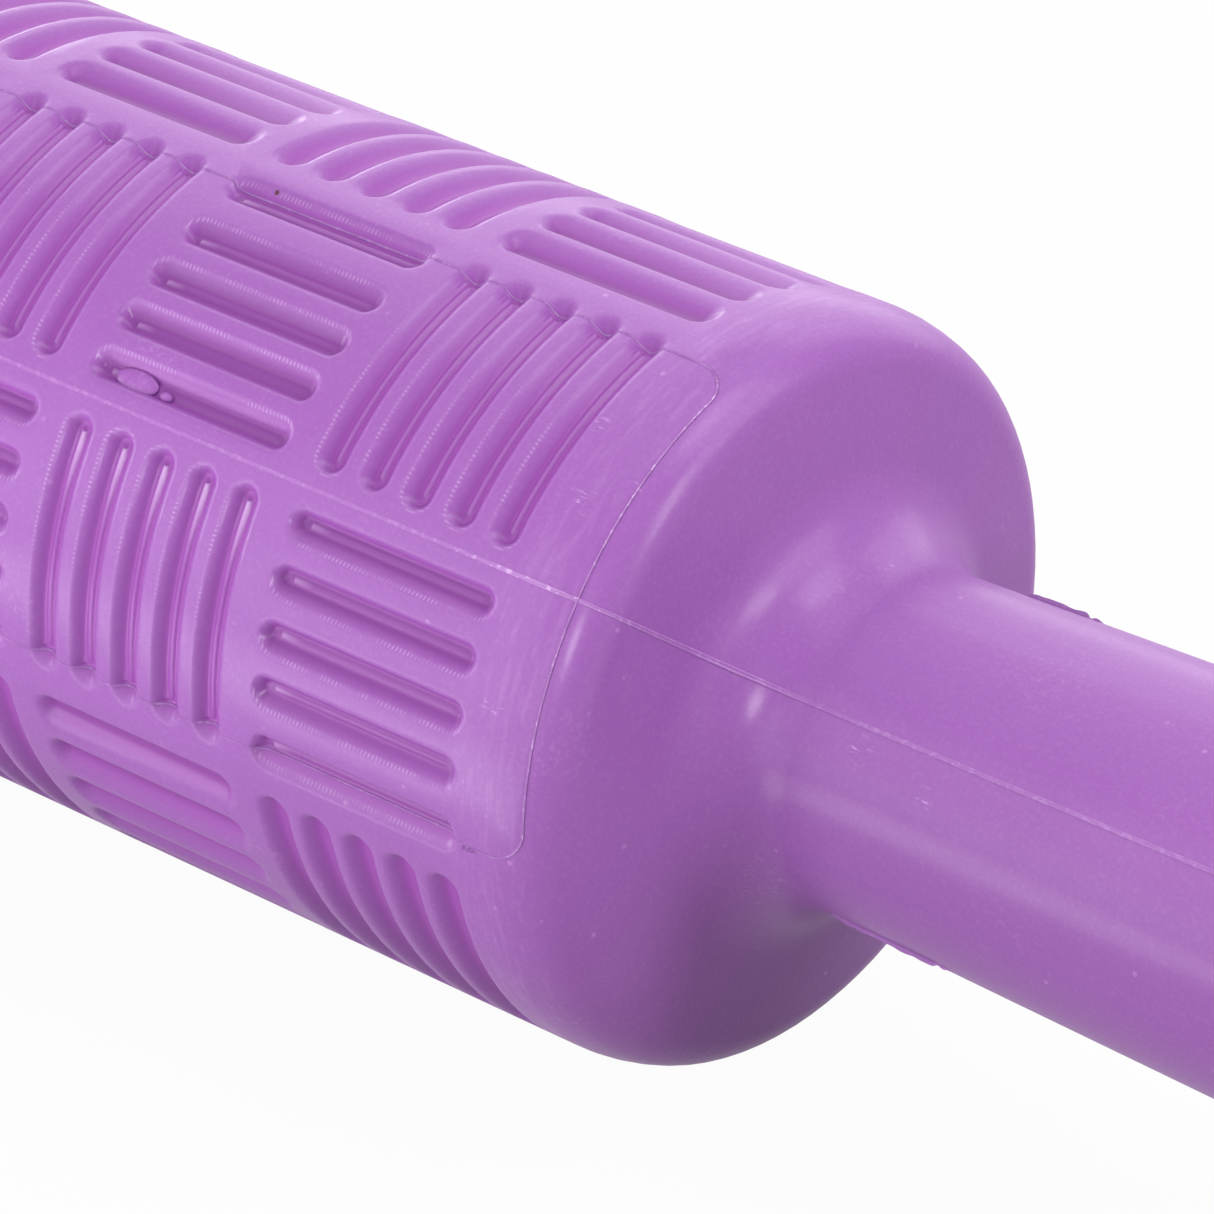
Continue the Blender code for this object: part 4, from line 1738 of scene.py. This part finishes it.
    def lay_floor(self) -> None:
        """Lays the white floor at the bottom of the drum."""
        bpy.ops.object.select_all(action="DESELECT")
        bpy.ops.mesh.primitive_plane_add(size=self.floor_size, location=(0, 0, -SIZES.drum_radius))
        floor = bpy.context.active_object
        floor.name = "floor"
        bench = ShaderBench("white_floor")
        bench.shader.inputs["Base Color"].default_value = self.floor_colour
        bench.shader.inputs["Roughness"].default_value = self.floor_roughness
        bench.shader.inputs["Specular IOR Level"].default_value = self.floor_level
        lit = Wire(bench, bench.shader.outputs["BSDF"])
        glow = bench.node("ShaderNodeEmission", {}, {"Color": WHITE, "Strength": 1.0}, "Emission")
        seen = bench.seen_white(self.whiteness)
        mixed = bench.node("ShaderNodeMixShader", {}, {0: seen, 1: lit, 2: glow})
        bench.feed(bench.tree.nodes["Material Output"].inputs["Surface"], mixed)
        floor.data.materials.append(bench.material)

    def set_world(self) -> None:
        """Sets an even dim surround, white to the rays that see the background."""
        world = bpy.data.worlds.new("surround")
        world.use_nodes = True
        bpy.context.scene.world = world
        bench = NodeBench(world.node_tree)
        surround = bench.tree.nodes["Background"]
        surround.inputs["Color"].default_value = self.surround
        surround.inputs["Strength"].default_value = self.surround_strength
        lit = Wire(bench, surround.outputs[0])
        white = bench.node("ShaderNodeBackground", {}, {"Color": WHITE})
        seen = bench.seen_white(self.whiteness)
        mixed = bench.node("ShaderNodeMixShader", {}, {0: seen, 1: lit, 2: white})
        bench.feed(bench.tree.nodes["World Output"].inputs["Surface"], mixed)

    def build(self) -> None:
        """Sets up the whole studio."""
        self.set_camera()
        self.lay_floor()
        self.set_world()
        for lamp in self.lamps:
            self.hang(lamp)
        for card in self.cards:
            self.lay_card(*card)
        bpy.context.scene.view_settings.view_transform = "Standard"


def finish_piece(
    item: bpy.types.Object, material: bpy.types.Material, slot: str, *nodes: str
) -> None:
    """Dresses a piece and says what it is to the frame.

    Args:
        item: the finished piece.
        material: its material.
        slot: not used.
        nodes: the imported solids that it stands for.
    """
    item.data.materials.clear()
    item.data.materials.append(material)
    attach(item, "root")
    if nodes:
        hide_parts(*nodes)
    LOG.info("%s: %d faces", item.name, len(item.data.polygons))


def main() -> None:
    """Builds the roller, dresses it and sets up the studio."""
    logging.basicConfig(level=logging.INFO, format="%(name)s %(message)s")
    Studio().build()
    outline = Outline(SIZES)
    weave = WeaveSheet(SIZES)
    sheet = weave.build()
    marks = MouldMarks(outline, SheetProbe.of(SIZES, sheet)).build()
    weave.roll(sheet)
    moulding = Moulding(SIZES, outline).build(sheet)
    moulding_finish = SatinPlastic("satin_moulding", machined_and_painted_light=True).make()
    finish_piece(moulding, moulding_finish, "shell_plastic", "roller_shell")
    flash_finish = SatinPlastic("satin_flash", colour=(0.23, 0.088, 0.295, 1.0), flecks_and_edge_shade=True).make()
    blister_finish = SatinPlastic("satin_blister", colour=(0.212, 0.066, 0.272, 1.0)).make()
    for mark in marks:
        finish = blister_finish if mark.name.startswith("blister") else flash_finish
        finish_piece(mark, finish, "shell_plastic")
    plug_finish = SatinPlastic("satin_plug").make()
    for name, side in (("right", 1), ("left", -1)):
        plug = EndPlug(SIZES).build(f"{name}_turned_plug", side)
        finish_piece(plug, plug_finish, "plug_plastic", f"{name}_end_plug")


if __name__ == "__main__":
    main()
